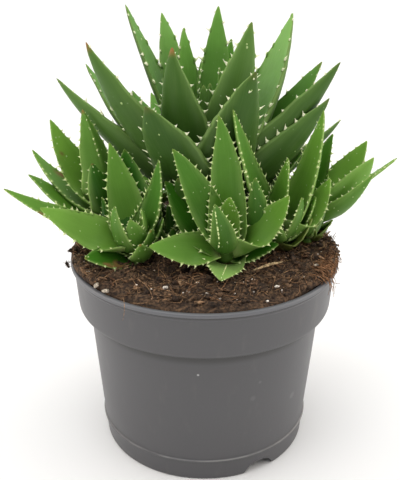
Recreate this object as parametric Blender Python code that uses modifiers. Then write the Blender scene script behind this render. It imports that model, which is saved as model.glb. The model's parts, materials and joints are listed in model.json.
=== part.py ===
"""Potted aloe: a plastic nursery pot, the soil heaped in it and eight rosettes of toothed leaves."""
import math
import random

import bmesh
import bpy
from mathutils import Matrix, Vector

MM = 0.001

# Pot, in millimetres: radius and height of the turned profile, from the axis above the floor, up the
# inner wall, over the rolled lip and down the collar, the body and the skirt to the axis under the floor
POT_STEPS = 40
POT_PROFILE = [
    (0.0, 7.2), (47.8, 7.2),
    (52.6, 70.8), (57.2, 70.8),
    (58.8, 90.2), (59.6, 91.0), (60.8, 91.0), (61.4, 90.5), (61.4, 88.9), (60.9, 88.4), (59.95, 88.3),
    (58.6, 70.8), (58.0, 69.8), (57.2, 69.5), (54.0, 69.5),
    (49.3, 11.0), (49.6, 10.7), (49.6, 10.0), (49.0, 9.6),
    (48.4, 1.0), (47.9, 0.0), (47.0, 0.0), (47.3, 6.0), (0.0, 6.0),
]
NOTCH_AZIMUTHS = (-55.3, 124.7)
NOTCH_BOTTOM = 19.5
NOTCH_TOP = 9.5
NOTCH_HEIGHT = 5.0
DRAIN_RADIUS = 3.5
DRAIN_CIRCLE = 30.0
DRAIN_COUNT = 6

# Soil, in millimetres: the part below the lip follows the pot's wall with a small gap
SOIL_GAP = 0.3
SOIL_LOW = [(47.5, 7.5), (52.3, 71.1), (56.9, 71.1), (58.4, 89.0)]
# Rings above that, as radius and height at the front and at the sides and back, where the heap is fuller
SOIL_TOP = [
    ((57.9, 89.8), (58.6, 91.4)),
    ((57.0, 90.5), (60.6, 91.5)),
    ((55.6, 91.2), (61.2, 93.2)),
    ((53.0, 91.9), (59.3, 95.2)),
    ((45.0, 93.2), (50.0, 95.6)),
    ((32.0, 94.5), (34.0, 95.3)),
    ((15.0, 95.2), (16.0, 95.3)),
]
SOIL_CENTRE = 95.5
SOIL_LEVEL = 95.0
SOIL_BUMP = 0.5
HOLE_DEPTH = 9.8
HOLE_ABOVE = 12.0
STEM_DEPTH = 9.5

# Leaves: stations along a blade, each at a share of its length, and the section's corners as a share of
# the half width and of the dish above or the depth below
MAIN_STATIONS = (0.0, 0.14, 0.40, 0.66, 0.90)
PUP_STATIONS = (0.0, 0.14, 0.42, 0.70, 0.92)
SECTION = ((-1.0, 0.0), (0.0, 1.0), (1.0, 0.0), (0.5, -0.9), (-0.5, -0.9))
EDGES = {0: -1.0, 2: 1.0}
ROOT_SPAN = 0.16
DISH = 0.10
THICKNESS = 0.30
# Teeth: length, half the root along the edge, and how far the root reaches over each face
MAIN_TOOTH = (2.8, 1.0, 1.3)
PUP_TOOTH = (1.6, 0.6, 0.8)
TOOTH_LEAN = 0.55
STEM_SIDES = 10
# Edges shorter than this, in metres, are dissolved after a union
DEGENERATE = 0.000001


def leaf(tip, height, width, bow=0.04, roll=0.0, sway=0.0, taper=2.3, turn=None, start=None):
    """A leaf placed by its tip, with the height on the stem where it starts."""
    return {"tip": tip, "height": height, "width": width, "bow": bow, "roll": roll, "sway": sway,
            "taper": taper, "turn": turn, "start": start}


def aimed(turn, rise, length, height, width, bow=0.05):
    """A leaf placed by its compass turn, its rise above level and its length."""
    return {"aim": (turn, rise, length), "height": height, "width": width, "bow": bow, "roll": 0.0,
            "sway": 0.0, "taper": 2.3, "turn": None, "start": None}


def spiral(count, first_turn):
    """Leaves of a hidden offset, each one golden angle on from the last and lower than it."""
    leaves = []
    for i in range(count):
        leaves.append(aimed(first_turn + 137.5 * i, 72 - 7 * i, 21 + 2 * i, 13 - 1.3 * i, 11 + 0.8 * i))
    return leaves


ROSETTES = {
    "rosette_main": {
        "at": (1, 8), "lean": (0.0, 0.0), "top": 46, "stem": 7.0, "start": 3.0, "large": True,
        "leaves": [
            leaf((-34, 12, 200), 36, 21, bow=0.0),
            leaf((-19, 28, 195), 42, 24),
            leaf((-9, 16, 190), 46, 20),
            leaf((6, 26, 198), 44, 18),
            leaf((12, 32, 183), 36, 16),
            leaf((19, -4, 195), 38, 22, roll=-40),
            leaf((38, 18, 196), 32, 27, roll=20),
            leaf((37, 36, 174), 28, 24),
            leaf((-14, -6, 185), 28, 29),
            leaf((-24, -24, 165), 20, 32, taper=4.0, sway=-0.06),
            leaf((20, -20, 178), 18, 33, bow=0.03, taper=3.0, sway=0.05),
            leaf((-49, -4, 187), 28, 26, bow=0.06, roll=35),
            leaf((-53, 20, 174), 22, 24),
            leaf((-34, 34, 159), 26, 22),
            leaf((-66, 17, 168), 20, 22, roll=25),
            leaf((54, 30, 173), 24, 24, roll=20),
            leaf((58, 6, 177), 24, 27, roll=-35),
            leaf((54, 4, 162), 18, 27, roll=-35),
            leaf((49, 16, 162), 12, 16, bow=0.14),
            leaf((63, 22, 148), 16, 18, roll=-20),
            aimed(92, 48, 66, 24, 24),
            aimed(124, 41, 64, 18, 24),
            aimed(56, 41, 64, 18, 24),
            aimed(200, 72, 30, 46, 12),
            aimed(320, 74, 27, 46, 11),
            aimed(80, 80, 24, 46, 9),
        ],
    },
    "rosette_left": {
        "at": (-42, 9), "lean": (-0.25, -0.10), "top": 21, "stem": 4.0, "start": 2.0, "large": False,
        "leaves": [
            leaf((-69, 10, 151), 18, 17, bow=0.06),
            leaf((-54, 8, 156), 20, 17, roll=20),
            leaf((-79, 14, 136), 13, 15, bow=0.06, roll=30),
            leaf((-79, 2, 128), 11, 15, bow=0.05),
            leaf((-50, 2, 134), 14, 13, bow=0.06),
            aimed(100, 55, 34, 14, 15),
            aimed(150, 25, 30, 9, 14),
        ],
    },
    "rosette_front_left": {
        "at": (-29, -13), "lean": (-0.15, -0.45), "top": 12, "stem": 4.0, "start": 2.0, "large": False,
        "leaves": [
            leaf((-87, -12, 126), 8, 19, bow=0.05, taper=1.5, turn=-140, start=3.5),
            leaf((-41, -6, 145), 11, 18),
            leaf((-35, -2, 141), 13, 16),
            leaf((-19, -22, 142), 10, 14, bow=0.05),
            leaf((-37, -30, 125), 7, 12, bow=0.08, start=3.0),
            leaf((-50, -30, 103), 6, 13, bow=-0.07),
            leaf((-23, -27, 113), 6, 9, bow=0.06),
            leaf((-27, -33, 109), 3, 10, bow=0.06, start=3.0),
            aimed(-60, 66, 18, 11, 9),
        ],
    },
    "rosette_front": {
        "at": (9, -17), "lean": (0.0, -0.60), "top": 12, "stem": 4.0, "start": 2.0, "large": False,
        "leaves": [
            leaf((5, -27, 162), 11, 17, bow=0.02, sway=0.04),
            leaf((-13, -33, 150), 11, 16, bow=0.03, roll=-25, sway=0.03),
            leaf((-18, -18, 131), 9, 16),
            leaf((34, -30, 129), 9, 15, bow=0.13, turn=-70, start=4.5),
            leaf((-27, -38, 112), 8, 16, bow=0.06, turn=-110, start=4.5),
            leaf((4, -36, 128), 8, 14, bow=0.10, turn=-100, start=3.5),
            leaf((10, -28, 128), 12, 12, bow=0.06),
            leaf((9, -42, 97), 5, 20, bow=-0.20),
            leaf((32, -21, 104), 7, 13, bow=0.0),
        ],
    },
    "rosette_front_right": {
        "at": (34, -6), "lean": (0.0, -0.35), "top": 16, "stem": 4.0, "start": 2.0, "large": False,
        "leaves": [
            leaf((11, -26, 164), 13, 17, bow=0.03, roll=-45, sway=0.02),
            leaf((21, -18, 134), 13, 12, bow=0.05, roll=35),
            leaf((34, -18, 142), 13, 13, bow=0.06),
            leaf((49, -14, 161), 13, 17, bow=0.03),
            leaf((42, -16, 115), 4, 14, bow=0.03, turn=-80, start=4.0),
            aimed(80, 60, 26, 10, 12),
            aimed(-110, 50, 18, 8, 9),
        ],
    },
    "rosette_right": {
        "at": (44, 13), "lean": (0.35, -0.20), "top": 18, "stem": 4.0, "start": 2.0, "large": False,
        "leaves": [
            leaf((58, 12, 144), 14, 14),
            leaf((75, 18, 139), 13, 16, bow=0.06),
            leaf((75, 2, 136), 12, 16, bow=0.06),
            leaf((87, 8, 134), 10, 12, bow=0.05),
            leaf((74, -8, 131), 9, 16, bow=0.08),
            leaf((54, -14, 134), 9, 14, bow=0.08),
            leaf((59, 2, 106), 4, 10, bow=0.02),
            aimed(70, 50, 30, 8, 13),
        ],
    },
    "rosette_back_left": {
        "at": (-28, 37), "lean": (-0.15, 0.20), "top": 14, "stem": 4.0, "start": 2.0, "large": False,
        "leaves": spiral(6, 40),
    },
    "rosette_back_right": {
        "at": (22, 37), "lean": (0.15, 0.20), "top": 14, "stem": 4.0, "start": 2.0, "large": False,
        "leaves": spiral(6, 0),
    },
}


def empty_scene():
    """Remove the objects that the scene starts with."""
    for obj in list(bpy.data.objects):
        bpy.data.objects.remove(obj, do_unlink=True)


def new_collection(name, parent=None):
    """Make a collection under the scene or under another collection."""
    collection = bpy.data.collections.new(name)
    (parent or bpy.context.scene.collection).children.link(collection)
    return collection


def new_material(name, colour, roughness):
    """Make a plain Principled material."""
    material = bpy.data.materials.new(name)
    material.use_nodes = True
    shader = material.node_tree.nodes["Principled BSDF"]
    shader.inputs["Base Color"].default_value = (*colour, 1.0)
    shader.inputs["Roughness"].default_value = roughness
    return material


def object_from(bm, name, collection):
    """Turn a bmesh into an object in a collection, with its faces pointing out."""
    bmesh.ops.recalc_face_normals(bm, faces=bm.faces)
    mesh = bpy.data.meshes.new(name)
    bm.to_mesh(mesh)
    bm.free()
    obj = bpy.data.objects.new(name, mesh)
    collection.objects.link(obj)
    return obj


def shade_smooth(obj):
    """Shade an object's faces smooth."""
    for polygon in obj.data.polygons:
        polygon.use_smooth = True


def apply_modifiers(obj):
    """Make the result of an object's modifiers its own mesh."""
    bpy.context.view_layer.update()
    graph = bpy.context.evaluated_depsgraph_get()
    mesh = bpy.data.meshes.new_from_object(obj.evaluated_get(graph))
    obj.modifiers.clear()
    obj.data = mesh


def turned(name, profile, steps, collection):
    """Turn a profile, given in millimetres, round the vertical axis."""
    mesh = bpy.data.meshes.new(name)
    points = [(radius * MM, 0.0, height * MM) for radius, height in profile]
    mesh.from_pydata(points, [(i, i + 1) for i in range(len(points) - 1)], [])
    obj = bpy.data.objects.new(name, mesh)
    collection.objects.link(obj)
    screw = obj.modifiers.new("turn", "SCREW")
    screw.axis = "Z"
    screw.angle = 2.0 * math.pi
    screw.steps = steps
    screw.render_steps = steps
    screw.use_merge_vertices = True
    screw.merge_threshold = 0.00001
    screw.use_normal_calculate = True
    screw.use_smooth_shade = True
    return obj


def cut(obj, cutters):
    """Cut every object of a collection out of an object."""
    boolean = obj.modifiers.new("cut", "BOOLEAN")
    boolean.operation = "DIFFERENCE"
    boolean.operand_type = "COLLECTION"
    boolean.collection = cutters
    boolean.solver = "EXACT"


def mark_cutter(obj):
    """Show a cutter as wires and keep it out of renders."""
    obj.hide_render = True
    obj.display_type = "WIRE"


def around(azimuth, radius):
    """The point at a compass azimuth in degrees and a radius."""
    turn = math.radians(azimuth)
    return Vector((radius * math.cos(turn), radius * math.sin(turn), 0.0))


# Pot

def notch_cutter(azimuth, collection):
    """A wedge that cuts one foot notch, narrower at the top."""
    bm = bmesh.new()
    bmesh.ops.create_cube(bm, size=1.0)
    for vert in bm.verts:
        top = vert.co.z > 0.0
        width = NOTCH_TOP if top else NOTCH_BOTTOM
        vert.co = Vector((vert.co.x * 8.0, vert.co.y * width, NOTCH_HEIGHT if top else -1.0)) * MM
    place = Matrix.Translation(around(azimuth, 48.0) * MM) @ Matrix.Rotation(math.radians(azimuth), 4, "Z")
    bmesh.ops.transform(bm, matrix=place, verts=bm.verts)
    mark_cutter(object_from(bm, "notch_cutter", collection))


def drain_cutter(centre, collection):
    """A cylinder that cuts one drain hole through the floor."""
    bm = bmesh.new()
    place = Matrix.Translation((centre + Vector((0.0, 0.0, 6.6))) * MM)
    bmesh.ops.create_cone(bm, cap_ends=True, segments=12, radius1=DRAIN_RADIUS * MM,
                          radius2=DRAIN_RADIUS * MM, depth=4.0 * MM, matrix=place)
    mark_cutter(object_from(bm, "drain_cutter", collection))


def build_pot(collection, cutters):
    """The turned pot with its foot notches and drain holes."""
    pot = turned("pot", POT_PROFILE, POT_STEPS, collection)
    openings = new_collection("pot_cutters", cutters)
    for azimuth in NOTCH_AZIMUTHS:
        notch_cutter(azimuth, openings)
    drain_cutter(Vector((0.0, 0.0, 0.0)), openings)
    for i in range(DRAIN_COUNT):
        drain_cutter(around(360.0 * i / DRAIN_COUNT, DRAIN_CIRCLE), openings)
    cut(pot, openings)
    return pot


# Soil

def fullness(azimuth):
    """Nought at the front of the pot, one at its sides and back, smooth between."""
    off_front = abs((azimuth + 270.0) % 360.0 - 180.0)
    share = min(1.0, max(0.0, (off_front - 25.0) / 45.0))
    return share * share * (3.0 - 2.0 * share)


def soil_ring(ring, share, azimuth, bump):
    """One point of a ring of the heap, between its front and its side values."""
    front, side = ring
    radius = front[0] + (side[0] - front[0]) * share
    height = front[1] + (side[1] - front[1]) * share
    return around(azimuth, radius) + Vector((0.0, 0.0, height + bump))


def build_soil(collection, cutters):
    """The soil: a plug that fills the pot and the heap on top of it, with a hole for each stem."""
    draw = random.Random(5)
    azimuths = [360.0 * j / POT_STEPS for j in range(POT_STEPS)]
    rings = [[around(azimuth, radius) + Vector((0.0, 0.0, height)) for azimuth in azimuths]
             for radius, height in SOIL_LOW]
    for number, ring in enumerate(SOIL_TOP):
        bump = SOIL_BUMP if number > 2 else 0.0
        rings.append([soil_ring(ring, fullness(azimuth), azimuth, draw.uniform(-bump, bump))
                      for azimuth in azimuths])
    bm = bmesh.new()
    rows = [[bm.verts.new(point * MM) for point in ring] for ring in rings]
    for low, high in zip(rows, rows[1:]):
        for j in range(POT_STEPS):
            k = (j + 1) % POT_STEPS
            bm.faces.new((low[j], low[k], high[k], high[j]))
    centre = bm.verts.new(Vector((0.0, 0.0, SOIL_CENTRE * MM)))
    for j in range(POT_STEPS):
        bm.faces.new((rows[-1][j], rows[-1][(j + 1) % POT_STEPS], centre))
    bm.faces.new(rows[0])
    soil = object_from(bm, "soil", collection)
    shade_smooth(soil)
    holes = new_collection("soil_cutters", cutters)
    for rosette in ROSETTES.values():
        radius = rosette["stem"] + SOIL_GAP
        profile = [(0.0, HOLE_ABOVE), (radius, HOLE_ABOVE), (radius, -HOLE_DEPTH), (0.0, -HOLE_DEPTH)]
        mark_cutter(turned_stem("stem_cutter", profile, rosette, holes))
    cut(soil, holes)
    return soil


# Rosettes

def stem_axis(rosette):
    """The direction that a rosette grows in."""
    return Vector((rosette["lean"][0], rosette["lean"][1], 1.0)).normalized()


def stem_frame(rosette):
    """The frame of a stem: its origin at the soil's level and its Z along the stem."""
    foot = Vector((rosette["at"][0], rosette["at"][1], SOIL_LEVEL))
    turn = Vector((0.0, 0.0, 1.0)).rotation_difference(stem_axis(rosette))
    return Matrix.Translation(foot * MM) @ turn.to_matrix().to_4x4()


def turned_stem(name, profile, rosette, collection):
    """A solid turned from a profile and set along a rosette's stem, with its faces pointing out."""
    obj = turned(name, profile, STEM_SIDES, collection)
    apply_modifiers(obj)
    bm = bmesh.new()
    bm.from_mesh(obj.data)
    bmesh.ops.transform(bm, matrix=stem_frame(rosette), verts=bm.verts)
    bmesh.ops.recalc_face_normals(bm, faces=bm.faces)
    bm.to_mesh(obj.data)
    bm.free()
    return obj


def build_stem(name, rosette, collection):
    """The stem of a rosette, from its foot in the soil to the bud, wider where the leaves start."""
    radius = rosette["stem"]
    top = rosette["top"]
    profile = [(0.0, top + 4.0), (radius * 0.35, top + 2.0), (radius * 0.9, top * 0.85),
               (radius * 1.15, top * 0.55), (radius, top * 0.15), (radius, -STEM_DEPTH), (0.0, -STEM_DEPTH)]
    return turned_stem(name, profile, rosette, collection)


def leaf_line(rosette, row):
    """The three control points of a leaf's middle line and the direction of its side."""
    axis = stem_axis(rosette)
    root = Vector((rosette["at"][0], rosette["at"][1], SOIL_LEVEL)) + axis * row["height"]
    if "aim" in row:
        turn, rise, length = row["aim"]
        flat = around(turn, math.cos(math.radians(rise)))
        tip = root + (flat + Vector((0.0, 0.0, math.sin(math.radians(rise))))) * length
    else:
        tip = Vector(row["tip"])
    away = around(row["turn"], 1.0) if row["turn"] is not None else tip - root
    out = (away - axis * away.dot(axis)).normalized()
    start = root + out * (row["start"] or rosette["start"])
    length = (tip - start).length
    chord = (tip - start) / length
    inner = axis - chord * axis.dot(chord)
    if inner.length < 0.15:
        inner = chord * out.dot(chord) - out
    inner = Matrix.Rotation(math.radians(row["roll"]), 3, chord) @ inner.normalized()
    side = chord.cross(inner)
    middle = start + chord * (length / 2.0) - inner * (2.0 * row["bow"] * length)
    middle += side * (2.0 * row["sway"] * length)
    return start, middle, tip, side


def along(line, s):
    """The point, the direction and the inner normal of a leaf's middle line at a share of its length."""
    start, middle, tip, side = line
    point = start * (1.0 - s) ** 2 + middle * (2.0 * s * (1.0 - s)) + tip * s ** 2
    direction = ((middle - start) * (1.0 - s) + (tip - middle) * s).normalized()
    return point, direction, side.cross(direction)


def half_width(row, s):
    """Half the width of a leaf at a share of its length."""
    root = 0.35 + 0.65 * math.sin(0.5 * math.pi * min(1.0, s / ROOT_SPAN))
    return 0.5 * row["width"] * (1.0 - s ** row["taper"]) * root


def blade_ring(row, line, s):
    """The corners of a leaf's section: a dished inner face and a rounded outer face."""
    point, _, normal = along(line, s)
    root = 0.35 + 0.65 * math.sin(0.5 * math.pi * min(1.0, s / ROOT_SPAN))
    depth = (THICKNESS * row["width"] * (1.0 - s ** 1.8) * 0.9 + 0.4) * root
    dish = -DISH * row["width"] * (1.0 - s)
    corners = []
    for across, height in SECTION:
        offset = line[3] * (half_width(row, s) * across)
        corners.append(point + offset + normal * (height * (dish if height > 0.0 else depth)))
    return corners


def add_tooth(bm, low, high, corner, aim, size):
    """Raise a tooth on a blade's edge between two rings, rooted in the faces on both sides of the edge."""
    length, half_root, reach = size
    count = len(SECTION)
    edge = high[corner].co - low[corner].co
    middle = (low[corner].co + high[corner].co) / 2.0
    before = bm.verts.new(middle - edge.normalized() * half_root * MM)
    after = bm.verts.new(middle + edge.normalized() * half_root * MM)
    tip = bm.verts.new(middle + aim * length * MM)
    for step in (1, -1):
        beside = (corner + step) % count
        across = (low[beside].co + high[beside].co) / 2.0 - middle
        inset = bm.verts.new(middle + across * min(0.5, reach * MM / across.length))
        bm.faces.new((low[corner], before, inset, after, high[corner], high[beside], low[beside]))
        bm.faces.new((before, tip, inset))
        bm.faces.new((inset, tip, after))


def build_blade(name, row, line, stations, size, collection):
    """One leaf: a blade closed at its root and pointed at its tip, with a tooth on each stretch of edge."""
    bm = bmesh.new()
    count = len(SECTION)
    rings = [[bm.verts.new(corner * MM) for corner in blade_ring(row, line, s)] for s in stations]
    for i in range(len(rings) - 1):
        low = rings[i]
        high = rings[i + 1]
        _, direction, _ = along(line, (stations[i] + stations[i + 1]) / 2.0)
        for j in range(count):
            k = (j + 1) % count
            if i == 0 or not (j in EDGES or k in EDGES):
                bm.faces.new((low[j], low[k], high[k], high[j]))
        if i > 0:
            for corner, hand in EDGES.items():
                aim = (line[3] * hand + direction * TOOTH_LEAN).normalized()
                add_tooth(bm, low, high, corner, aim, size)
    tip = bm.verts.new(line[2] * MM)
    for j in range(count):
        bm.faces.new((rings[-1][j], rings[-1][(j + 1) % count], tip))
    bm.faces.new(rings[0])
    return object_from(bm, name, collection)


def shells_of(bm):
    """The vertices of each separate shell, the largest shell last."""
    shells = []
    unseen = set(bm.verts)
    while unseen:
        ahead = [unseen.pop()]
        shell = set(ahead)
        while ahead:
            for edge in ahead.pop().link_edges:
                for vert in edge.verts:
                    if vert in unseen:
                        unseen.remove(vert)
                        shell.add(vert)
                        ahead.append(vert)
        shells.append(shell)
    return sorted(shells, key=len)


def all_edges_paired(bm):
    """Whether every edge has just two faces."""
    return all(len(edge.link_faces) == 2 for edge in bm.edges)


def clean_union(obj):
    """Fill sealed hollows, drop loose scraps and needless vertices, and split the faces into triangles."""
    for method in ("EAR_CLIP", "BEAUTY"):
        bm = bmesh.new()
        bm.from_mesh(obj.data)
        for shell in shells_of(bm)[:-1]:
            bmesh.ops.delete(bm, geom=list(shell), context="VERTS")
        bmesh.ops.dissolve_degenerate(bm, dist=DEGENERATE, edges=bm.edges)
        bmesh.ops.dissolve_verts(bm, verts=[vert for vert in bm.verts if len(vert.link_edges) == 2])
        bmesh.ops.delete(bm, geom=[edge for edge in bm.edges if not edge.link_faces], context="EDGES")
        bmesh.ops.delete(bm, geom=[vert for vert in bm.verts if not vert.link_faces], context="VERTS")
        bmesh.ops.triangulate(bm, faces=bm.faces, ngon_method=method)
        if all_edges_paired(bm):
            break
    bm.to_mesh(obj.data)
    bm.free()


def build_rosette(name, rosette, collection):
    """A rosette: its stem, leaves and teeth joined into one body."""
    repeats = new_collection(name + "_repeats")
    stations = MAIN_STATIONS if rosette["large"] else PUP_STATIONS
    size = MAIN_TOOTH if rosette["large"] else PUP_TOOTH
    for row in rosette["leaves"]:
        build_blade("blade", row, leaf_line(rosette, row), stations, size, repeats)
    body = build_stem(name, rosette, collection)
    union = body.modifiers.new("join", "BOOLEAN")
    union.operation = "UNION"
    union.operand_type = "COLLECTION"
    union.collection = repeats
    union.solver = "MANIFOLD"
    apply_modifiers(body)
    for obj in list(repeats.objects):
        bpy.data.objects.remove(obj, do_unlink=True)
    bpy.data.collections.remove(repeats)
    clean_union(body)
    shade_smooth(body)
    return body


def build():
    """Build every piece and give it its material."""
    empty_scene()
    plant = new_collection("potted_aloe")
    cutters = new_collection("cutters")
    pot = build_pot(plant, cutters)
    pot.data.materials.append(new_material("pot_plastic", (0.16, 0.155, 0.15), 0.6))
    soil = build_soil(plant, cutters)
    soil.data.materials.append(new_material("soil_peat", (0.05, 0.03, 0.02), 0.95))
    leaves = new_material("aloe_leaf", (0.09, 0.22, 0.05), 0.45)
    for name, rosette in ROSETTES.items():
        body = build_rosette(name, rosette, plant)
        body.data.materials.clear()
        body.data.materials.append(leaves)


build()
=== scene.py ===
"""Looks of the potted aloe: the fine plant, pot and soil in place of the plain solids, and the studio."""

import functools
import json
import math
import random

import bmesh
import bpy
from mathutils import Matrix, Vector, noise

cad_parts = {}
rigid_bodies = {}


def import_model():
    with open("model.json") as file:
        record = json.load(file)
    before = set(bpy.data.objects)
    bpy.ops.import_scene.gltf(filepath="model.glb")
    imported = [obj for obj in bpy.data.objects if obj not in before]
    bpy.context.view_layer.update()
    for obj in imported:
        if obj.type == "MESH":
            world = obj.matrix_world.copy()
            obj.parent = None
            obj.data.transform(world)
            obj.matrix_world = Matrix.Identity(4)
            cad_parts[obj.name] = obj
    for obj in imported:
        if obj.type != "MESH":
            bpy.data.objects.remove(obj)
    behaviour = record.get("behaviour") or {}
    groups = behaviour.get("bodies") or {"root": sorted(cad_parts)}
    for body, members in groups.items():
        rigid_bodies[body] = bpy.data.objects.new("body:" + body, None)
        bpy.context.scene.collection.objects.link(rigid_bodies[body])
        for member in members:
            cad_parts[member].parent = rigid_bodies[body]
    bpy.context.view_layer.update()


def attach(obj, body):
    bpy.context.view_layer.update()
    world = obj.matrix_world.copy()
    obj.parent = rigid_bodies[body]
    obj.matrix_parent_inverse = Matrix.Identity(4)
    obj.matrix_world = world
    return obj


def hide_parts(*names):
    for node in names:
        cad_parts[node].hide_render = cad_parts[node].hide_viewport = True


MM = 0.001
FULL_TURN = 2.0 * math.pi
GOLDEN_ANGLE = 137.5
UP = Vector((0.0, 0.0, 1.0))

# Camera, in metres and degrees
CAMERA_PLACE = (-0.0021, -0.325, 0.23465)
CAMERA_PITCH = 22.96
CAMERA_LENS = 57.47

# Light of the surround: its level, what the sides, the back and the top add to it, and its least
WORLD_LEVEL = 0.30
WORLD_SIDES = 2.2
WORLD_BACK = 0.38
WORLD_TOP = 0.85
WORLD_LEAST = 0.08
WORLD_WHITE = (1.0, 1.0, 1.0)
WORLD_SIDE_TINT = (1.0, 0.91, 0.80)
# The soft light above, in metres and watts, and half the floor's width
LIGHT_PLACE = Vector((-0.15, -0.35, 1.1))
LIGHT_TARGET = Vector((0.0, 0.0, 0.1))
LIGHT_SIZE = 0.5
LIGHT_POWER = 2.2
FLOOR_HALF = 5.0
FLOOR_WHITES = (0.90, 0.90, 0.90), (0.93, 0.93, 0.93)

# Pot, in millimetres: its profile from the axis above the floor, up the inner wall, over the rolled lip,
# down the collar, the body and the skirt to the axis under the floor, each point with its rounding
POT_STEPS = 180
POT_PROFILE = [
    (0.0, 7.2, 0.0), (47.8, 7.2, 1.2),
    (52.6, 70.8, 0.3), (57.2, 70.8, 0.6),
    (58.8, 90.2, 0.5), (59.5, 91.0, 0.6), (60.8, 91.1, 0.7), (61.4, 90.5, 0.7), (61.3, 89.3, 0.5),
    (60.2, 89.0, 0.2), (60.35, 87.9, 0.5), (59.8, 87.2, 0.4),
    (58.6, 70.4, 0.6), (58.1, 69.2, 0.4), (57.0, 68.9, 0.3), (54.0, 69.1, 0.4),
    (49.25, 11.5, 0.15), (49.9, 11.0, 0.2), (49.9, 10.3, 0.25), (48.95, 9.8, 0.3),
    (48.4, 0.9, 0.5), (47.9, 0.0, 0.4), (47.0, 0.0, 0.4), (47.3, 6.0, 0.5), (0.0, 6.0, 0.0),
]
# Longest stretch of the profile, and the angle in degrees above which an edge stays sharp
POT_STRETCH = 6.0
POT_SHARP = 38.0
# Radius past which the moulded wall is slightly uneven, and how much
POT_WALL = 47.5
POT_UNEVEN = 0.14
NOTCH_AZIMUTHS = (-58.8, 121.2)
NOTCH_RADIUS = 48.0
NOTCH_DEPTH = 8.0
NOTCH_BOTTOM = 18.5
NOTCH_TOP = 8.5
NOTCH_HEIGHT = 5.3
NOTCH_ROUNDING = 1.2
DRAIN_RADIUS = 3.5
DRAIN_HEIGHT = 6.6
DRAIN_DEPTH = 4.0
DRAIN_SIDES = 28
DRAIN_CIRCLE = 30.0
DRAIN_COUNT = 6
# Painted shade under the collar, under the lip and under the foot's ledge: the heights where it starts, is
# full, ebbs and ends, with its strength
POT_PAINTED_SHADE = [(62.3, 66.2, 69.4, 70.0, 0.95), (88.0, 88.9, 88.9, 89.5, 0.6), (8.6, 9.9, 9.9, 10.5, 0.4)]
# The same heights for the worn edge of the foot's ledge
POT_WEAR = (10.7, 10.9, 11.2, 11.4)
# Heights between which the lip turns paler and bluer than the wall: a painted highlight on the lip's bead
POT_LIP_HIGHLIGHT = (89.3, 89.7)
# Faint marks on the pot's wall: place, radius and strength
POT_MARKS = [
    ((-2.9, -52.9, 58.3), 0.7, 0.5),
    ((23.6, -46.9, 50.8), 1.0, 0.05),
    ((39.6, -32.4, 34.3), 2.4, 0.06),
    ((20.5, -47.0, 43.0), 2.0, 0.04),
]
# Pot colours
POT_GREYS = (0.053, 0.0525, 0.0585), (0.062, 0.0600, 0.0645)
DUST = (0.20, 0.185, 0.165)
PAINTED_SHADE_GREY = (0.017, 0.0165, 0.0165)
LIP_HIGHLIGHT_GREY = (0.165, 0.172, 0.190)
WEAR_GREY = (0.36, 0.355, 0.34)
MARK_GREY = (0.75, 0.75, 0.74)

# Soil, in millimetres: the plug, then rings of the heap as radius and height at the front and at the sides
SOIL_STEPS = 200
SOIL_LOW = [(47.5, 7.5), (52.3, 71.1), (56.9, 71.1), (58.3, 89.0)]
SOIL_TOP = [
    ((57.9, 89.8), (58.6, 91.4)),
    ((57.0, 90.5), (60.6, 91.5)),
    ((55.6, 91.2), (61.2, 93.2)),
    ((53.0, 91.9), (59.3, 95.2)),
    ((45.0, 93.2), (50.0, 95.6)),
    ((32.0, 94.5), (34.0, 95.3)),
    ((15.0, 95.2), (16.0, 95.3)),
    ((1.0, 95.5), (1.0, 95.5)),
]
SOIL_RINGS = 46
SOIL_LEVEL = 95.0
HEAP_REACH = 62.0
HEAP_EDGE = 60.0
HEAP_SEED = 21
SCATTER_SEED = 8
# How many of each thing are scattered over the heap and its rim
CLODS = 1900
CHIPS = 150
SLIVERS = 420
FIBRES = 1000
CRUMBS = 160
RIM_COIR = 120
RIM_STRANDS = 9
# Coir over the lip: for each of a strand's four places, the span of its radius and of its height
COIR_SPANS = [((53, 57), (95.0, 98.0)), ((58, 60), (96.0, 98.0)), ((60.5, 62.3), (93.5, 95.5)),
              ((60.0, 62.8), (91.3, 93.5))]
# Hairs that stand up at the heap's edge: azimuths between which they grow, how many and how tall
RIM_HAIRS = [(-22.0, 8.0, 34, 6.5), (172.0, 200.0, 26, 4.0), (60.0, 130.0, 24, 4.0)]
# Hairy clods past the lip: place and size
RIM_CLODS = [((-61.5, -6.5, 94.4), 1.3), ((-60.9, -17.0, 92.8), 1.9), ((-60.0, -19.0, 92.5), 1.4)]
CHIP_POINTS = 9
# Soil colours
PEAT = (0.034, 0.020, 0.012)
PEAT_PALE = (0.150, 0.092, 0.052)
BARK = (0.120, 0.060, 0.030)
BARK_PALE = (0.360, 0.235, 0.140)
FIBRE = (0.330, 0.200, 0.105)
STRAW = (0.55, 0.43, 0.25)
CHIP_GREY = (0.56, 0.52, 0.45)
PERLITE = (0.86, 0.85, 0.82)
COIR = (0.300, 0.162, 0.080)
# White grains as place and size, grey chips as place and length
WHITE_GRAINS = [
    (-16.4, -43.4, 1.1), (29.6, -41.6, 0.9), (25.1, -50.2, 0.8), (0.7, -48.2, 0.9), (-3.0, -40.5, 0.9),
    (12.0, -46.5, 0.5), (31.5, -43.5, 0.5), (20.0, -44.0, 0.5), (-9.0, -46.0, 0.45), (6.0, -51.0, 0.5),
    (-5.0, 46.0, 0.9), (30.0, 44.0, 0.8), (-45.0, 25.0, 0.8), (48.0, 22.0, 0.7), (-30.0, 46.0, 1.0),
]
GREY_CHIPS = [(-45.2, -40.0, 4.6), (-40.8, -44.4, 3.8), (48.0, -26.0, 3.0)]
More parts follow.
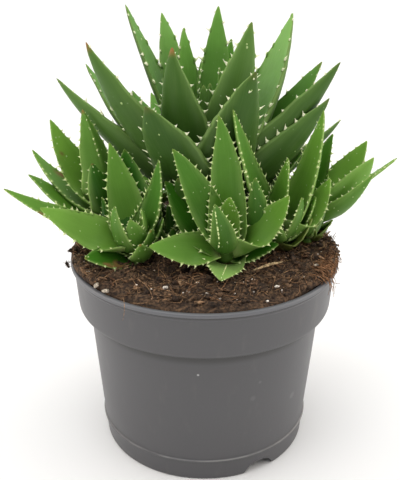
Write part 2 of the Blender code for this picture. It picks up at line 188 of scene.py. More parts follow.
# Loose straws as four places, a radius and a colour
THREADS = [
    (((20.5, -31.4, 96.4), (25.0, -31.0, 97.8), (29.0, -29.5, 98.6), (33.0, -28.6, 99.0)), 0.50, STRAW),
    (((21.5, -30.0, 96.4), (25.0, -30.4, 98.2), (28.0, -28.5, 98.2), (30.0, -27.6, 98.4)), 0.30, STRAW),
    (((-33.1, -49.5, 92.8), (-32.3, -55.5, 94.6), (-31.0, -59.5, 93.5), (-32.4, -60.9, 88.4)), 0.11, FIBRE),
    (((-22.0, -44.0, 94.6), (-18.0, -48.0, 96.0), (-12.0, -50.0, 95.6), (-7.0, -52.5, 93.6)), 0.13, FIBRE),
    (((-30.0, -36.0, 95.4), (-26.0, -42.0, 96.8), (-22.0, -47.0, 96.0), (-21.0, -52.0, 93.4)), 0.12, FIBRE),
]

# Leaves: the share of the length over which the root swells, and the hollow of the inner face and the depth
# of the outer one as shares of the width
ROOT_SPAN = 0.16
DISH = 0.10
THICKNESS = 0.30
# Points round a section, and millimetres between sections on a large and on a small leaf
SECTION_POINTS = 22
MAIN_STEP = 2.2
PUP_STEP = 1.8
# Share of its full width that a leaf has where it clasps the stem
CLASP = 0.85
# Half the width of a leaf's blunt tip
MAIN_BLUNT = 1.0
PUP_BLUNT = 0.7
# Share of a leaf over which it turns from clasping the stem to its own way, and how far its edges wrap there
TWIST_SPAN = 0.42
WRAP = 0.45
# Teeth: length, half the length and half the thickness of the foot, and spacing along the edge
MAIN_TOOTH = (2.9, 1.10, 0.46, 6.6)
PUP_TOOTH = (1.65, 0.80, 0.36, 3.5)
STEM_SIDES = 24
# Each rosette's leaves take their seeds from a run of this many
SEED_RUN = 80

# Leaf colours: mottling, pale root, flecks, dry tip, dots, and the two browns of withered skin
MOTTLE = (0.026, 0.062, 0.010)
PALE_ROOT = (0.30, 0.36, 0.14)
FLECK = (0.42, 0.50, 0.30)
DRY_TIP = (0.30, 0.14, 0.045)
DOT = (0.46, 0.60, 0.25)
WITHERED = (0.11, 0.050, 0.018), (0.34, 0.19, 0.075)
# Large and small leaves: the greens of the inner and of the outer face from dark to pale, the large leaves'
# outer green kept darker partly as painted shade; the darkening at the root and brightening at the tip,
# partly the leaf's own colour and partly painted shade; the margin's colour and strength, and the teeth's
# colour
LARGE_LEAF = {
    "inner": ((0.080, 0.215, 0.026), (0.150, 0.340, 0.060)),
    "outer": ((0.030, 0.080, 0.010), (0.085, 0.178, 0.034)),
    "fade_and_shade": (0.52, 1.42), "margin": (0.32, 0.48, 0.15), "margin_share": 0.35, "spine": (0.86, 0.88, 0.62),
}
SMALL_LEAF = {
    "inner": ((0.030, 0.135, 0.006), (0.185, 0.385, 0.050)),
    "outer": ((0.030, 0.115, 0.008), (0.170, 0.350, 0.055)),
    "fade_and_shade": (0.70, 1.26), "margin": (0.38, 0.56, 0.16), "margin_share": 0.60, "spine": (0.74, 0.82, 0.42),
}

# What a leaf has unless its row says otherwise. Its ridge is the place of a crease across the outer face,
# its rows are extra teeth as (place across, face, from, to, size), and its scars are brown as
# (share of the length, place across, face, radius); the inner face is 1 and the outer face is -1
PLAIN_LEAF = {"bow": 0.04, "roll": 0.0, "sway": 0.0, "taper": 2.3, "turn": None, "start": None,
              "tone": 0.0, "red": 0.15, "bloom": 0.0, "dots": 0, "dry": 0.0, "gap": 1.0, "ridge": None,
              "rows": (), "scars": ()}


def leaf(tip, height, width, **changes):
    """A leaf placed by its tip; the changes are to a plain leaf."""
    return {**PLAIN_LEAF, "tip": tip, "height": height, "width": width, **changes}


def aimed(turn, rise, length, height, width, **changes):
    """A leaf placed by its compass turn, its rise above level and its length."""
    return {**PLAIN_LEAF, "aim": (turn, rise, length), "height": height, "width": width, **changes}


def withered(turn, rise, length, height, width, bow):
    """An old brown leaf at the foot of a stem."""
    return aimed(turn, rise, length, height, width, bow=bow, dry=1.0)


def tucked(tip, height, width, tone=-0.6):
    """A small leaf deep among the others, its green darkened as painted shade."""
    return leaf(tip, height, width, tone=tone, gap=0.7)


def spiral(first_turn):
    """Leaves of a hidden offset, each one golden angle on from the last and lower than it."""
    return [aimed(first_turn + GOLDEN_ANGLE * i, 72 - 7 * i, 21 + 2 * i, 13 - 1.3 * i, 11 + 0.8 * i, dots=6)
            for i in range(6)]


def plant(at, lean, top, leaves, dry=(), offsets=(), stem=4.0, start=2.0, large=False):
    """A rosette: its foot, its lean, its height, its leaves, the withered ones and its small offsets."""
    return {"at": at, "lean": lean, "top": top, "leaves": leaves, "dry": dry, "offsets": offsets,
            "stem": stem, "start": start, "large": large}


def offset(at, lean, leaves):
    """A very small plant that stands among the large ones."""
    return plant(at, lean, 9, leaves, stem=2.0, start=1.2)


ROSETTES = {
    "rosette_main": plant((1, 8), (0.0, 0.0), 46, stem=7.0, start=3.0, large=True, leaves=[
        leaf((-34, 12, 200), 36, 21, bow=0.0, roll=-8, tone=-0.4, dots=5),
        leaf((-19, 28, 195), 42, 24, tone=0.3),
        leaf((-9, 16, 190), 46, 20, tone=0.2),
        leaf((6, 26, 198), 44, 18, tone=0.1),
        leaf((12, 32, 183), 36, 16),
        leaf((19, -4, 195), 38, 22, roll=-45, tone=0.4, dots=5),
        leaf((38, 18, 196), 32, 35, roll=2, taper=2.8, tone=0.4, dots=3),
        leaf((37, 36, 174), 28, 24),
        leaf((-14, -6, 185), 28, 28, roll=18, tone=-0.1, red=1.0),
        leaf((-24, -24, 165), 20, 32, roll=8, taper=4.0, sway=-0.06, tone=-0.6, dots=5),
        leaf((20, -20, 178), 18, 33, roll=-6, bow=0.03, taper=3.0, sway=0.05, tone=-0.4, dots=6,
             rows=((0.1, -1, 0.84, 0.96, 1.1),), scars=((0.77, -0.25, -1, 1.2),)),
        leaf((-49, -4, 187), 28, 26, bow=0.06, roll=35, tone=0.0, red=0.9, dots=4),
        leaf((-53, 20, 174), 22, 24),
        leaf((-34, 34, 159), 26, 22, tone=-0.3),
        leaf((-66, 17, 168), 20, 22, roll=50, tone=0.4, scars=((0.76, 0.4, -1, 1.0),)),
        leaf((54, 30, 173), 24, 24, roll=20, tone=-0.6, red=0.3),
        leaf((58, 6, 177), 24, 24, roll=-52, tone=-0.15, red=0.1, dots=4),
        leaf((54, 4, 162), 18, 25, roll=-48, taper=2.8, tone=-0.1, dots=2),
        leaf((49, 16, 162), 12, 16, bow=0.14),
        leaf((63, 22, 148), 16, 22, roll=-40),
        leaf((33, 9, 125), 7, 22, tone=-0.8, gap=0.8),
        leaf((45, 9, 137), 9, 24, tone=-0.8, gap=0.8),
        aimed(92, 48, 66, 24, 24),
        aimed(124, 41, 64, 18, 24),
        aimed(56, 41, 64, 18, 24),
        *[leaf(tip, height, 9, tone=tone, gap=0.6) for tip, height, tone in (
            ((-1, 8, 178), 46, 0.5), ((6, 6, 175), 46, 0.5), ((11, 10, 178), 46, 0.4),
            ((2, 1, 169), 44, 0.5), ((9, 0, 167), 44, 0.5))],
        aimed(200, 72, 30, 46, 12, tone=0.5),
        aimed(320, 74, 27, 46, 11, tone=0.5),
        aimed(80, 80, 24, 46, 9, tone=0.5),
        aimed(-100, 78, 34, 40, 11, tone=0.5, gap=0.6),
        aimed(-60, 72, 30, 38, 11, tone=0.5, gap=0.6),
        aimed(-135, 70, 28, 38, 11, tone=0.4, gap=0.6),
        aimed(-85, 84, 26, 44, 9, tone=0.6, gap=0.6),
        # Leaves low in the heart of the rosette, their green darkened as painted shade
        *[aimed(*place, tone=-0.6, gap=0.7) for place in (
            (-112, 42, 44, 10, 20), (-62, 40, 42, 10, 20), (-85, 52, 34, 12, 20), (-150, 32, 40, 8, 18),
            (-25, 32, 40, 8, 18))],
    ], dry=[
        withered(95, 8, 30, 9, 13, -0.16),
        withered(140, 2, 26, 7, 12, -0.12),
        withered(35, 5, 28, 8, 12, -0.14),
        withered(-18, 4, 34, 8, 11, -0.12),
        withered(188, 2, 24, 7, 11, -0.10),
    ]),
    "rosette_left": plant((-42, 9), (-0.25, -0.10), 21, [
        leaf((-69, 10, 151), 18, 17, bow=0.06, roll=-20, tone=0.9, dots=10, scars=((0.62, -0.5, 1, 1.0),)),
        leaf((-54, 8, 156), 20, 17, turn=-80, roll=-125, ridge=-0.1, tone=0.1, red=0.8, dots=6),
        leaf((-79, 14, 136), 13, 15, bow=0.06, roll=5, tone=0.2, dots=8,
             scars=((0.62, 0.7, 1, 1.9), (0.5, 0.85, 1, 1.5))),
        leaf((-79, 2, 128), 11, 15, bow=0.05, roll=-15, dots=6),
        leaf((-50, 2, 134), 14, 15, bow=0.06, taper=3.5, tone=-0.6, red=0.9, dots=5,
             rows=((-0.3, -1, 0.84, 0.97, 0.9), (0.3, -1, 0.84, 0.97, 0.9))),
        aimed(100, 55, 34, 14, 15, dots=8),
        aimed(150, 25, 30, 9, 14, dots=8),
    ], [withered(120, 0, 16, 5, 8, -0.12)]),
    "rosette_front_left": plant((-29, -13), (-0.15, -0.45), 12, [
        leaf((-87, -12, 126), 4, 14, bow=0.0, taper=2.0, dots=2, tone=0.1, red=0.3,
             scars=((0.56, -0.75, 1, 1.6), (0.70, -0.9, 1, 1.0))),
        leaf((-69.5, -23, 121.4), 10, 17.5, bow=0.06, roll=-26, turn=-150, start=4.0, dots=4, tone=0.4),
        leaf((-41, -6, 145), 11, 18.5, taper=1.8, tone=0.1, dots=5),
        leaf((-35, -2, 141), 13, 21, tone=-1.0, dots=6),
        leaf((-19, -22, 142), 10, 14, bow=0.05, dots=8, tone=-0.3, gap=0.8),
        leaf((-37, -30, 125), 7, 12, bow=0.08, start=3.0, dots=14, rows=((0.3, 1, 0.2, 0.9, 0.7),)),
        leaf((-50.5, -33, 102.5), 3, 16, bow=0.0, roll=-25, dots=5, tone=-0.4, red=0.4,
             scars=((0.40, -0.6, 1, 2.3), (0.58, -0.7, 1, 1.8)), rows=((0.2, 1, 0.88, 0.97, 1.0),)),
        leaf((-23, -27, 113), 6, 11, bow=0.06, taper=4.0, red=0.6, dots=6, tone=-0.2),
        leaf((-27, -33, 109), 3, 12, bow=0.06, start=3.0, red=0.8, dots=8),
        aimed(-60, 66, 18, 11, 11, dots=4),
        aimed(-95, 52, 22, 7, 13, dots=8, gap=0.7),
        aimed(-20, 50, 20, 6, 11, dots=6, gap=0.7),
    ], offsets=[
        offset((-13, -5), (-0.15, -0.1), [
            tucked((-20, -8, 123), 5, 10),
            tucked((-16, -12, 119), 4, 8),
            tucked((-11, -12, 122), 4, 9, -0.5),
            tucked((-22, -14, 112), 2, 8),
            tucked((-14, -18, 110), 2, 9, -0.5),
            tucked((-5, -6, 124), 5, 10),
        ]),
        offset((-39, 0), (-0.1, -0.1), [
            tucked((-45, -6, 120), 4, 9),
            tucked((-36, -8, 121), 4, 9),
            tucked((-50, -8, 112), 2, 8, -0.5),
        ]),
    ]),
    "rosette_front": plant((9, -17), (0.0, -0.60), 12, [
        leaf((5, -27, 162), 11, 17, bow=0.02, sway=0.04, dots=6, tone=-0.2),
        leaf((-13, -33, 150), 11, 16, bow=0.03, roll=-25, sway=0.03, dots=5, tone=-0.3),
        leaf((-17, -18, 131.5), 9, 22, roll=-10, dots=6, tone=-0.7),
        leaf((34, -31, 129.6), 10, 16, bow=0.20, roll=20, turn=-60, start=4.0, dots=6, tone=0.1, gap=0.8),
        leaf((-23, -38, 110.5), 13, 16, bow=0.09, roll=-28, turn=-125, start=4.5, dots=6),
        leaf((4, -36, 128), 11.5, 12, bow=0.08, turn=-100, start=3.5, roll=150, ridge=0.45, dots=3,
             tone=-0.25, rows=((0.45, -1, 0.25, 0.92, 1.0),), gap=0.7),
        leaf((10, -28, 128), 12, 12, bow=0.06, dots=16, tone=0.2, gap=0.7),
        leaf((6, -44, 97.5), 3.5, 18, bow=-0.10, start=3.0, taper=2.8, roll=-10, bloom=0.3,
             rows=((-0.15, 1, 0.35, 0.94, 1.2),), gap=0.7),
        leaf((32, -21, 104), 4, 14, bow=0.0, dots=4, tone=-0.6),
    ], offsets=[
        offset((24, -8), (0.0, -0.1), [
            leaf((21, -22, 134.5), 7, 12.5, roll=22, taper=2.4, dots=4, tone=-0.3, gap=0.7),
            leaf((34.5, -19, 142), 7, 14, bow=0.05, roll=62, dots=6, tone=0.1, gap=0.6,
                 rows=((0.4, 1, 0.86, 0.97, 1.0),)),
            tucked((19, -13, 122), 4, 9),
            tucked((26, -14, 117), 3, 9),
            tucked((20, -16, 112), 2, 8),
        ]),
    ]),
    "rosette_front_right": plant((34, -6), (0.0, -0.35), 16, [
        leaf((11, -26, 164), 13, 17, bow=0.03, roll=-8, sway=0.02, tone=-0.2, dots=8),
        leaf((49, -14, 161), 13, 17, bow=0.03, roll=-20, dots=8, tone=0.2),
        leaf((53.5, -15, 131.5), 12, 14.5, bow=0.16, roll=22, turn=-60, start=4.0, dots=10, tone=0.4,
             gap=0.8),
        leaf((46.5, -16, 114), 4, 13, bow=0.05, turn=-80, start=4.0, tone=-0.3, dry=0.3),
        aimed(80, 60, 26, 10, 12, dots=6),
        aimed(-110, 50, 18, 8, 11, dots=8, gap=0.7),
        aimed(-60, 58, 26, 9, 12, dots=10, gap=0.7),
        aimed(-20, 55, 26, 7, 12, dots=10, gap=0.7),
    ], offsets=[
        offset((47, 0), (0.0, -0.15), [
            leaf((45, -8, 124), 5, 9, dots=5, gap=0.7),
            leaf((54, -4, 130), 5, 10, tone=-0.4, dots=5, gap=0.7),
        ]),
        offset((46, 4), (0.6, -0.1), [
            leaf((58.5, 2, 105), 3, 12, bow=0.0, tone=-0.5, dry=0.2),
            leaf((54, -4, 101), 2, 9, bow=0.0, tone=-0.5, dry=0.3),
            leaf((50, -6, 104), 3, 9, bow=0.0, tone=-0.5, dry=0.2),
        ]),
    ]),
    "rosette_right": plant((44, 13), (0.35, -0.20), 18, [
        leaf((58, 12, 144), 14, 14, dots=8, tone=-0.3),
        leaf((75, 18, 139), 13, 17, bow=0.06, taper=3.0, dots=10, tone=0.9),
        leaf((75, 2, 136), 11, 19, bow=0.08, roll=-62, taper=3.2, dots=8, tone=0.9),
        leaf((87, 8, 134), 12, 9, bow=0.01, roll=-25, taper=3.0, tone=0.5, dots=4),
        leaf((73, -8, 131.5), 10, 12, bow=0.10, roll=-35, dots=5, tone=0.1),
        leaf((59, 2, 106), 4, 10, bow=0.02, dots=3, tone=-0.6),
        aimed(70, 50, 30, 8, 13, dots=8),
        aimed(-60, 55, 24, 9, 12, dots=8, gap=0.7),
    ], [withered(40, -2, 15, 4, 8, -0.12), withered(-50, 4, 16, 4, 8, -0.10)]),
    "rosette_back_left": plant((-28, 37), (-0.15, 0.20), 14, spiral(40)),
    "rosette_back_right": plant((22, 37), (0.15, 0.20), 14, spiral(0)),
}

# Values that each point of a leaf carries for its material. Blade: share of the length, nearness to the
# edge, outer face, tone. Marks: tooth, dryness, dot, redness. Grain: place on the leaf in millimetres
LEAF_LAYERS = {"blade": "FLOAT_COLOR", "marks": "FLOAT_COLOR", "grain": "FLOAT_VECTOR"}
# Soil points carry their own tint and a place for the fine mottling
SOIL_LAYERS = {"tint": "FLOAT_COLOR", "grain": "FLOAT_VECTOR"}


def quads(rows):
    """The faces between closed rings of points."""
    for low, high in zip(rows, rows[1:]):
        for j in range(len(low)):
            k = (j + 1) % len(low)
            yield low[j], low[k], high[k], high[j]


def fan(row, centre):
    """The faces from a closed ring to one point."""
    for j in range(len(row)):
        yield row[j], row[(j + 1) % len(row)], centre


class Sculpt:
    """The points, faces and point values of a piece while it is put together."""

    def __init__(self, layers):
        self.layers = layers
        self.points = []
        self.faces = []
        self.values = {name: [] for name in layers}

    def vert(self, point, *values):
        """Add a point with its values and give back its number."""
        self.points.append(point * MM)
        for name, value in zip(self.layers, values):
            self.values[name].extend(value)
        return len(self.points) - 1

    def loft(self, rings, tip=None):
        """Skin a row of rings, each a list of (point, values), closed at the foot and at the tip."""
        rows = [[self.vert(*entry) for entry in ring] for ring in rings]
        self.faces.extend(quads(rows))
        self.faces.append(tuple(reversed(rows[0])))
        if tip is None:
            self.faces.append(tuple(rows[-1]))
        else:
            self.faces.extend(fan(rows[-1], self.vert(*tip)))

    def piece(self, name, material):
        """Turn the points and faces into an object with its faces pointing out."""
        mesh = bpy.data.meshes.new(name)
        mesh.from_pydata(self.points, [], self.faces)
        for layer, kind in self.layers.items():
            attribute = mesh.attributes.new(layer, kind, "POINT")
            field = "color" if kind == "FLOAT_COLOR" else "vector"
            attribute.data.foreach_set(field, self.values[layer])
        bm = bmesh.new()
        bm.from_mesh(mesh)
        bmesh.ops.recalc_face_normals(bm, faces=bm.faces)
        bm.to_mesh(mesh)
        bm.free()
        return finished(name, mesh, material)


def placed(name, data):
    """A new object in the scene."""
    thing = bpy.data.objects.new(name, data)
    bpy.context.scene.collection.objects.link(thing)
    return thing


def meshed(name, bm):
    """A mesh from edited geometry, which is used up."""
    mesh = bpy.data.meshes.new(name)
    bm.to_mesh(mesh)
    bm.free()
    return mesh


def finished(name, mesh, material):
    """A smooth piece with its material."""
    for polygon in mesh.polygons:
        polygon.use_smooth = True
    mesh.materials.clear()
    mesh.materials.append(material)
    return placed(name, mesh)


def around(azimuth, radius, height=0.0):
    """The point at a compass azimuth in degrees, a radius and a height."""
    turn = math.radians(azimuth)
    return Vector((radius * math.cos(turn), radius * math.sin(turn), height))


def oval(centre, first, wide, second, high, count):
    """Points round an oval, from its centre, its two directions and its half widths along them."""
    for j in range(count):
        angle = FULL_TURN * j / count
        yield centre + first * (wide * math.cos(angle)) + second * (high * math.sin(angle))


def smooth(value, low, high):
    """Nought below low, one above high and smooth between."""
    share = min(1.0, max(0.0, (value - low) / (high - low)))
    return share * share * (3.0 - 2.0 * share)


def wobble(x, y, z):
    """Smooth noise about nought at a place."""
    return noise.noise(Vector((x, y, z)))


def mixed(first, second, share):
    """A colour between two others."""
    return tuple(a + (b - a) * share for a, b in zip(first, second))


# Materials

class Shader:
    """The nodes of a material or of the surround, with short ways to add more of them."""

    def __init__(self, owner):
        owner.use_nodes = True
        self.owner = owner
        self.nodes = owner.node_tree.nodes
        self.links = owner.node_tree.links

    def put(self, socket, value):
        """Link a node's output to a socket, or set the socket to a plain value or colour."""
        if isinstance(value, bpy.types.NodeSocket):
            self.links.new(value, socket)
        else:
            socket.default_value = (*value, 1.0) if socket.type == "RGBA" else value

    def node(self, kind, inputs, **settings):
        """Add a node with its settings and its inputs, by number or by name."""
        node = self.nodes.new("ShaderNode" + kind)
        for name, value in settings.items():
            setattr(node, name, value)
        for socket, value in inputs.items():
            self.put(node.inputs[socket], value)
        return node

    def math(self, operation, *numbers):
        """A sum on up to three numbers."""
        return self.node("Math", dict(enumerate(numbers)), operation=operation).outputs[0]

    def step(self, value, low, high):
        """Nought below low, one above high and smooth between."""
        inputs = {"Value": value, "From Min": low, "From Max": high}
        return self.node("MapRange", inputs, interpolation_type="SMOOTHSTEP").outputs["Result"]

    def span(self, value, low, high):
        """A number from nought to one stretched to run from low to high."""
        return self.node("MapRange", {"Value": value, "To Min": low, "To Max": high}).outputs["Result"]

    def band(self, height, low, full, ebb, high):
        """One from full to ebb and nought below low and above high, all in millimetres."""
        rise = self.step(height, low * MM, full * MM)
        return self.math("MULTIPLY", rise, self.step(height, high * MM, ebb * MM))

    def blend(self, share, first, second, kind="MIX"):
        """A colour mixed from two others."""
        return self.node("Mix", {0: share, 6: first, 7: second}, data_type="RGBA", blend_type=kind).outputs[2]

    def veil(self, colour, share, strength, over):
        """A colour with another laid over it where the share says, at a strength."""
        return self.blend(self.math("MULTIPLY", share, strength), colour, over)

    def noise(self, vector, scale, detail=2.0):
        """Soft noise from nought to one."""
        return self.node("TexNoise", {"Vector": vector, "Scale": scale, "Detail": detail}).outputs["Fac"]

    def stretched(self, vector, factors):
        """A vector with each of its axes scaled."""
        return self.node("VectorMath", {0: vector, 1: factors}, operation="MULTIPLY").outputs["Vector"]

    def layer(self, name):
        """The outputs that read a layer of point values."""
        return self.node("Attribute", {}, attribute_name=name).outputs

    def place(self, kind="Object"):
        """The place on the piece, in metres, or another coordinate."""
        return self.node("TexCoord", {}).outputs[kind]

    def parts(self, colour):
        """The three numbers of a colour or vector."""
        return self.node("SeparateXYZ", {0: colour}).outputs

    def bump(self, height, strength, distance):
        """A surface roughened by a height."""
        inputs = {"Height": height, "Strength": strength, "Distance": distance}
        return self.node("Bump", inputs).outputs["Normal"]

    def finish(self, **surface):
        """Set the surface's sockets, by their names with an underscore for each space."""
        for name, value in surface.items():
            self.put(self.nodes["Principled BSDF"].inputs[name.replace("_", " ")], value)
        return self.owner


def leaf_material(name, inner, outer, fade_and_shade, margin, margin_share, spine):
    """A succulent leaf: two greens on each face, a pale edge, pale dots, cream teeth and brown tips."""
    shader = Shader(bpy.data.materials.new(name))
    blade = shader.layer("blade")
    marks = shader.layer("marks")
    grain = shader.layer("grain")["Vector"]
    along, edge, outside = shader.parts(blade["Color"])
    tooth, dry, dot = shader.parts(marks["Color"])
    inner_green = shader.blend(blade["Alpha"], *inner)
    outer_green = shader.blend(blade["Alpha"], *outer)
    # The large leaves' darker outer green is partly painted shade
    colour = shader.blend(shader.step(outside, 0.4, 0.6), inner_green, outer_green)
    # Darker at the root and brighter at the tip: partly the leaf's own colour, partly painted shade
    shade = shader.blend(along, (fade_and_shade[0],) * 3, (fade_and_shade[1],) * 3)
    colour = shader.blend(1.0, colour, shade, "MULTIPLY")
    colour = shader.blend(shader.span(shader.noise(grain, 0.11, 3.0), 0.0, 0.30), colour, MOTTLE)
    lines = shader.noise(shader.stretched(grain, (1.6, 0.05, 1.0)), 1.0, 3.0)
    colour = shader.veil(colour, shader.step(lines, 0.45, 0.75), 0.035, margin)
    colour = shader.veil(colour, shader.step(along, 0.12, 0.0), 0.6, PALE_ROOT)
    colour = shader.veil(colour, shader.step(edge, 0.50, 1.0), margin_share * 0.36, margin)
    colour = shader.veil(colour, shader.step(edge, 0.93, 0.995), margin_share, margin)
    near = shader.node("TexVoronoi", {"Vector": grain, "Scale": 0.33}).outputs["Distance"]
    rare = shader.step(shader.noise(grain, 0.21, 1.0), 0.55, 0.65)
    colour = shader.veil(colour, shader.math("MULTIPLY", shader.step(near, 0.16, 0.05), rare), 0.45, FLECK)
    colour = shader.veil(colour, shader.step(along, 0.93, 0.995), marks["Alpha"], DRY_TIP)
    colour = shader.blend(dry, colour, shader.blend(shader.noise(grain, 0.4, 4.0), *WITHERED))
    colour = shader.veil(colour, dot, 0.85, DOT)
    colour = shader.blend(shader.step(tooth, 0.05, 0.6), colour, spine)
    creases = shader.noise(shader.stretched(grain, (0.42, 0.22, 1.0)), 1.0, 3.0)
    return shader.finish(Base_Color=colour, Roughness=shader.span(shader.noise(grain, 0.3), 0.34, 0.56),
                         Normal=shader.bump(creases, 0.22, 0.0005), Specular_IOR_Level=0.17,
                         Subsurface_Weight=0.06, Subsurface_Radius=(0.5, 1.0, 0.25), Subsurface_Scale=0.0012)


def pot_material():
    """Grey matt plastic with a slight cloudiness, dust, wear and a few faint scuffs, with painted shade
    under the collar, the lip and the foot's ledge and a painted highlight on the lip.
    """
    shader = Shader(bpy.data.materials.new("pot_grey_plastic"))
    place = shader.place()
    cloud = shader.noise(place, 28.0, 4.0)
    colour = shader.blend(cloud, *POT_GREYS)
    dust = shader.step(shader.noise(shader.stretched(place, (1.0, 1.0, 0.35)), 160.0, 5.0), 0.58, 0.80)
    colour = shader.veil(colour, dust, 0.12, DUST)
    height = shader.parts(place)[2]
    # Painted shade in bands under the collar, the lip and the foot's ledge
    for low, full, ebb, high, strength in POT_PAINTED_SHADE:
        colour = shader.veil(colour, shader.band(height, low, full, ebb, high), strength, PAINTED_SHADE_GREY)
    # A painted highlight along the top of the lip
    colour = shader.veil(colour, shader.step(height, POT_LIP_HIGHLIGHT[0] * MM, POT_LIP_HIGHLIGHT[1] * MM), 0.45, LIP_HIGHLIGHT_GREY)
    patchy = shader.step(shader.noise(place, 60.0, 3.0), 0.35, 0.65)
    worn = shader.math("MULTIPLY", shader.band(height, *POT_WEAR), patchy)
    colour = shader.veil(colour, worn, 0.4, WEAR_GREY)
    for centre, radius, strength in POT_MARKS:
        gap = shader.node("VectorMath", {0: place, 1: Vector(centre) * MM}, operation="DISTANCE")
        near = shader.step(gap.outputs["Value"], radius * MM, radius * 0.35 * MM)
        colour = shader.veil(colour, near, strength, MARK_GREY)
    return shader.finish(Base_Color=colour, Roughness=shader.span(cloud, 0.36, 0.50), Specular_IOR_Level=0.75,
                         Normal=shader.bump(shader.noise(place, 900.0, 3.0), 0.18, 0.0002))


def soil_material():
    """Peat and bark: each point's own tint, mottled."""
    shader = Shader(bpy.data.materials.new("soil_peat_and_bark"))
    tint = shader.layer("tint")["Color"]
    grain = shader.layer("grain")["Vector"]
    dark = shader.blend(1.0, tint, (0.40, 0.36, 0.33), "MULTIPLY")
    pale = shader.blend(1.0, tint, (1.45, 1.35, 1.25), "MULTIPLY")
    colour = shader.blend(shader.step(shader.noise(grain, 0.9, 5.0), 0.38, 0.62), dark, pale)
    return shader.finish(Base_Color=colour, Roughness=0.95,
                         Normal=shader.bump(shader.noise(grain, 2.4, 5.0), 0.9, 0.0006))


def floor_material():
    """A plain pale floor."""
    shader = Shader(bpy.data.materials.new("studio_floor"))
    cloud = shader.noise(shader.place(), 3.0)
    return shader.finish(Base_Color=shader.blend(cloud, *FLOOR_WHITES), Roughness=0.9)


# Pot

def rounded(profile):
    """A profile with each corner turned into a short curve."""
    points = []
    last = len(profile) - 1
    for i, (radius, height, fillet) in enumerate(profile):
        corner = Vector((radius, height))
        if i in (0, last) or fillet == 0.0:
            points.append(corner)
            continue
        before = Vector(profile[i - 1][:2]) - corner
        after = Vector(profile[i + 1][:2]) - corner
        reach = min(fillet, 0.45 * before.length, 0.45 * after.length)
        first = corner + before.normalized() * reach
        third = corner + after.normalized() * reach
        for t in (0.0, 0.25, 0.5, 0.75, 1.0):
            points.append(first * (1.0 - t) ** 2 + corner * (2.0 * t * (1.0 - t)) + third * t ** 2)
    return points


def subdivided(points, longest):
    """The same line with its long stretches split."""
    result = [points[0]]
    for first, second in zip(points, points[1:]):
        parts = max(1, math.ceil((second - first).length / longest))
        result.extend(first.lerp(second, k / parts) for k in range(1, parts + 1))
    return result


def waviness(azimuth, height):
    """A slight unevenness of the moulded wall, in millimetres."""
    turn = around(azimuth, 1.0)
    return POT_UNEVEN * wobble(turn.x * 1.3, turn.y * 1.3, height * 0.03)


def pot_cutters():
    """The wedges and drills that open the pot's foot and floor."""
    for azimuth in NOTCH_AZIMUTHS:
        bm = bmesh.new()
        bmesh.ops.create_cube(bm, size=1.0)
        for vert in bm.verts:
            width, height = (NOTCH_TOP, NOTCH_HEIGHT) if vert.co.z > 0.0 else (NOTCH_BOTTOM, -1.0)
            vert.co = Vector((vert.co.x * NOTCH_DEPTH, vert.co.y * width, height)) * MM
        rims = [edge for edge in bm.edges if edge.verts[0].co.z > 0.0
                and abs(edge.verts[0].co.x - edge.verts[1].co.x) > 0.9 * NOTCH_DEPTH * MM]
        bmesh.ops.bevel(bm, geom=rims, offset=NOTCH_ROUNDING * MM, segments=3, affect="EDGES")
        place = Matrix.Translation(around(azimuth, NOTCH_RADIUS) * MM)
        place = place @ Matrix.Rotation(math.radians(azimuth), 4, "Z")
        bmesh.ops.transform(bm, matrix=place, verts=bm.verts)
        yield bm
    holes = [around(360.0 * i / DRAIN_COUNT, DRAIN_CIRCLE, DRAIN_HEIGHT) for i in range(DRAIN_COUNT)]
    for centre in [UP * DRAIN_HEIGHT, *holes]:
        bm = bmesh.new()
        bmesh.ops.create_cone(bm, cap_ends=True, segments=DRAIN_SIDES, radius1=DRAIN_RADIUS * MM,
                              radius2=DRAIN_RADIUS * MM, depth=DRAIN_DEPTH * MM,
                              matrix=Matrix.Translation(centre * MM))
        yield bm


def build_pot():
    """The fine pot: turned, slightly uneven, with its foot notches and drain holes."""
    line = subdivided(rounded(POT_PROFILE), POT_STRETCH)
    bm = bmesh.new()
    rows = []
    for radius, height in line[1:-1]:
        row = []
        for j in range(POT_STEPS):
            azimuth = 360.0 * j / POT_STEPS
            uneven = waviness(azimuth, height) if radius > POT_WALL else 0.0
            row.append(bm.verts.new(around(azimuth, radius + uneven, height) * MM))
        rows.append(row)
    for face in quads(rows):
        bm.faces.new(face)
    for row, height in ((rows[0], line[0].y), (rows[-1], line[-1].y)):
        for face in fan(row, bm.verts.new(UP * height * MM)):
            bm.faces.new(face)
    bmesh.ops.recalc_face_normals(bm, faces=bm.faces)
    pot = placed("pot_turned", meshed("pot_turned", bm))
    cutters = bpy.data.collections.new("pot_cutters")
    bpy.context.scene.collection.children.link(cutters)
    for number, cutter in enumerate(pot_cutters()):
        bmesh.ops.recalc_face_normals(cutter, faces=cutter.faces)
        name = f"cutter_{number}"
        cutters.objects.link(bpy.data.objects.new(name, meshed(name, cutter)))
    boolean = pot.modifiers.new("cut", "BOOLEAN")
    boolean.operation = "DIFFERENCE"
    boolean.operand_type = "COLLECTION"
    boolean.collection = cutters
    boolean.solver = "EXACT"
    bpy.context.view_layer.update()
    result = bpy.data.meshes.new_from_object(pot.evaluated_get(bpy.context.evaluated_depsgraph_get()))
    result.name = "pot_fine"
    for thing in [pot, *cutters.objects]:
        bpy.data.objects.remove(thing, do_unlink=True)
    bpy.data.collections.remove(cutters)
    piece = finished("pot_fine", result, pot_material())
    result.set_sharp_from_angle(angle=math.radians(POT_SHARP))
    return piece


# Soil

def heap_line(azimuth):
    """The heap's outline from the lip to the middle, as radius and height; it is low at the front."""
    off_front = abs((azimuth + 270.0) % 360.0 - 180.0)
    share = smooth(off_front, 25.0, 70.0)
    return [Vector(front).lerp(Vector(side), share) for front, side in SOIL_TOP]


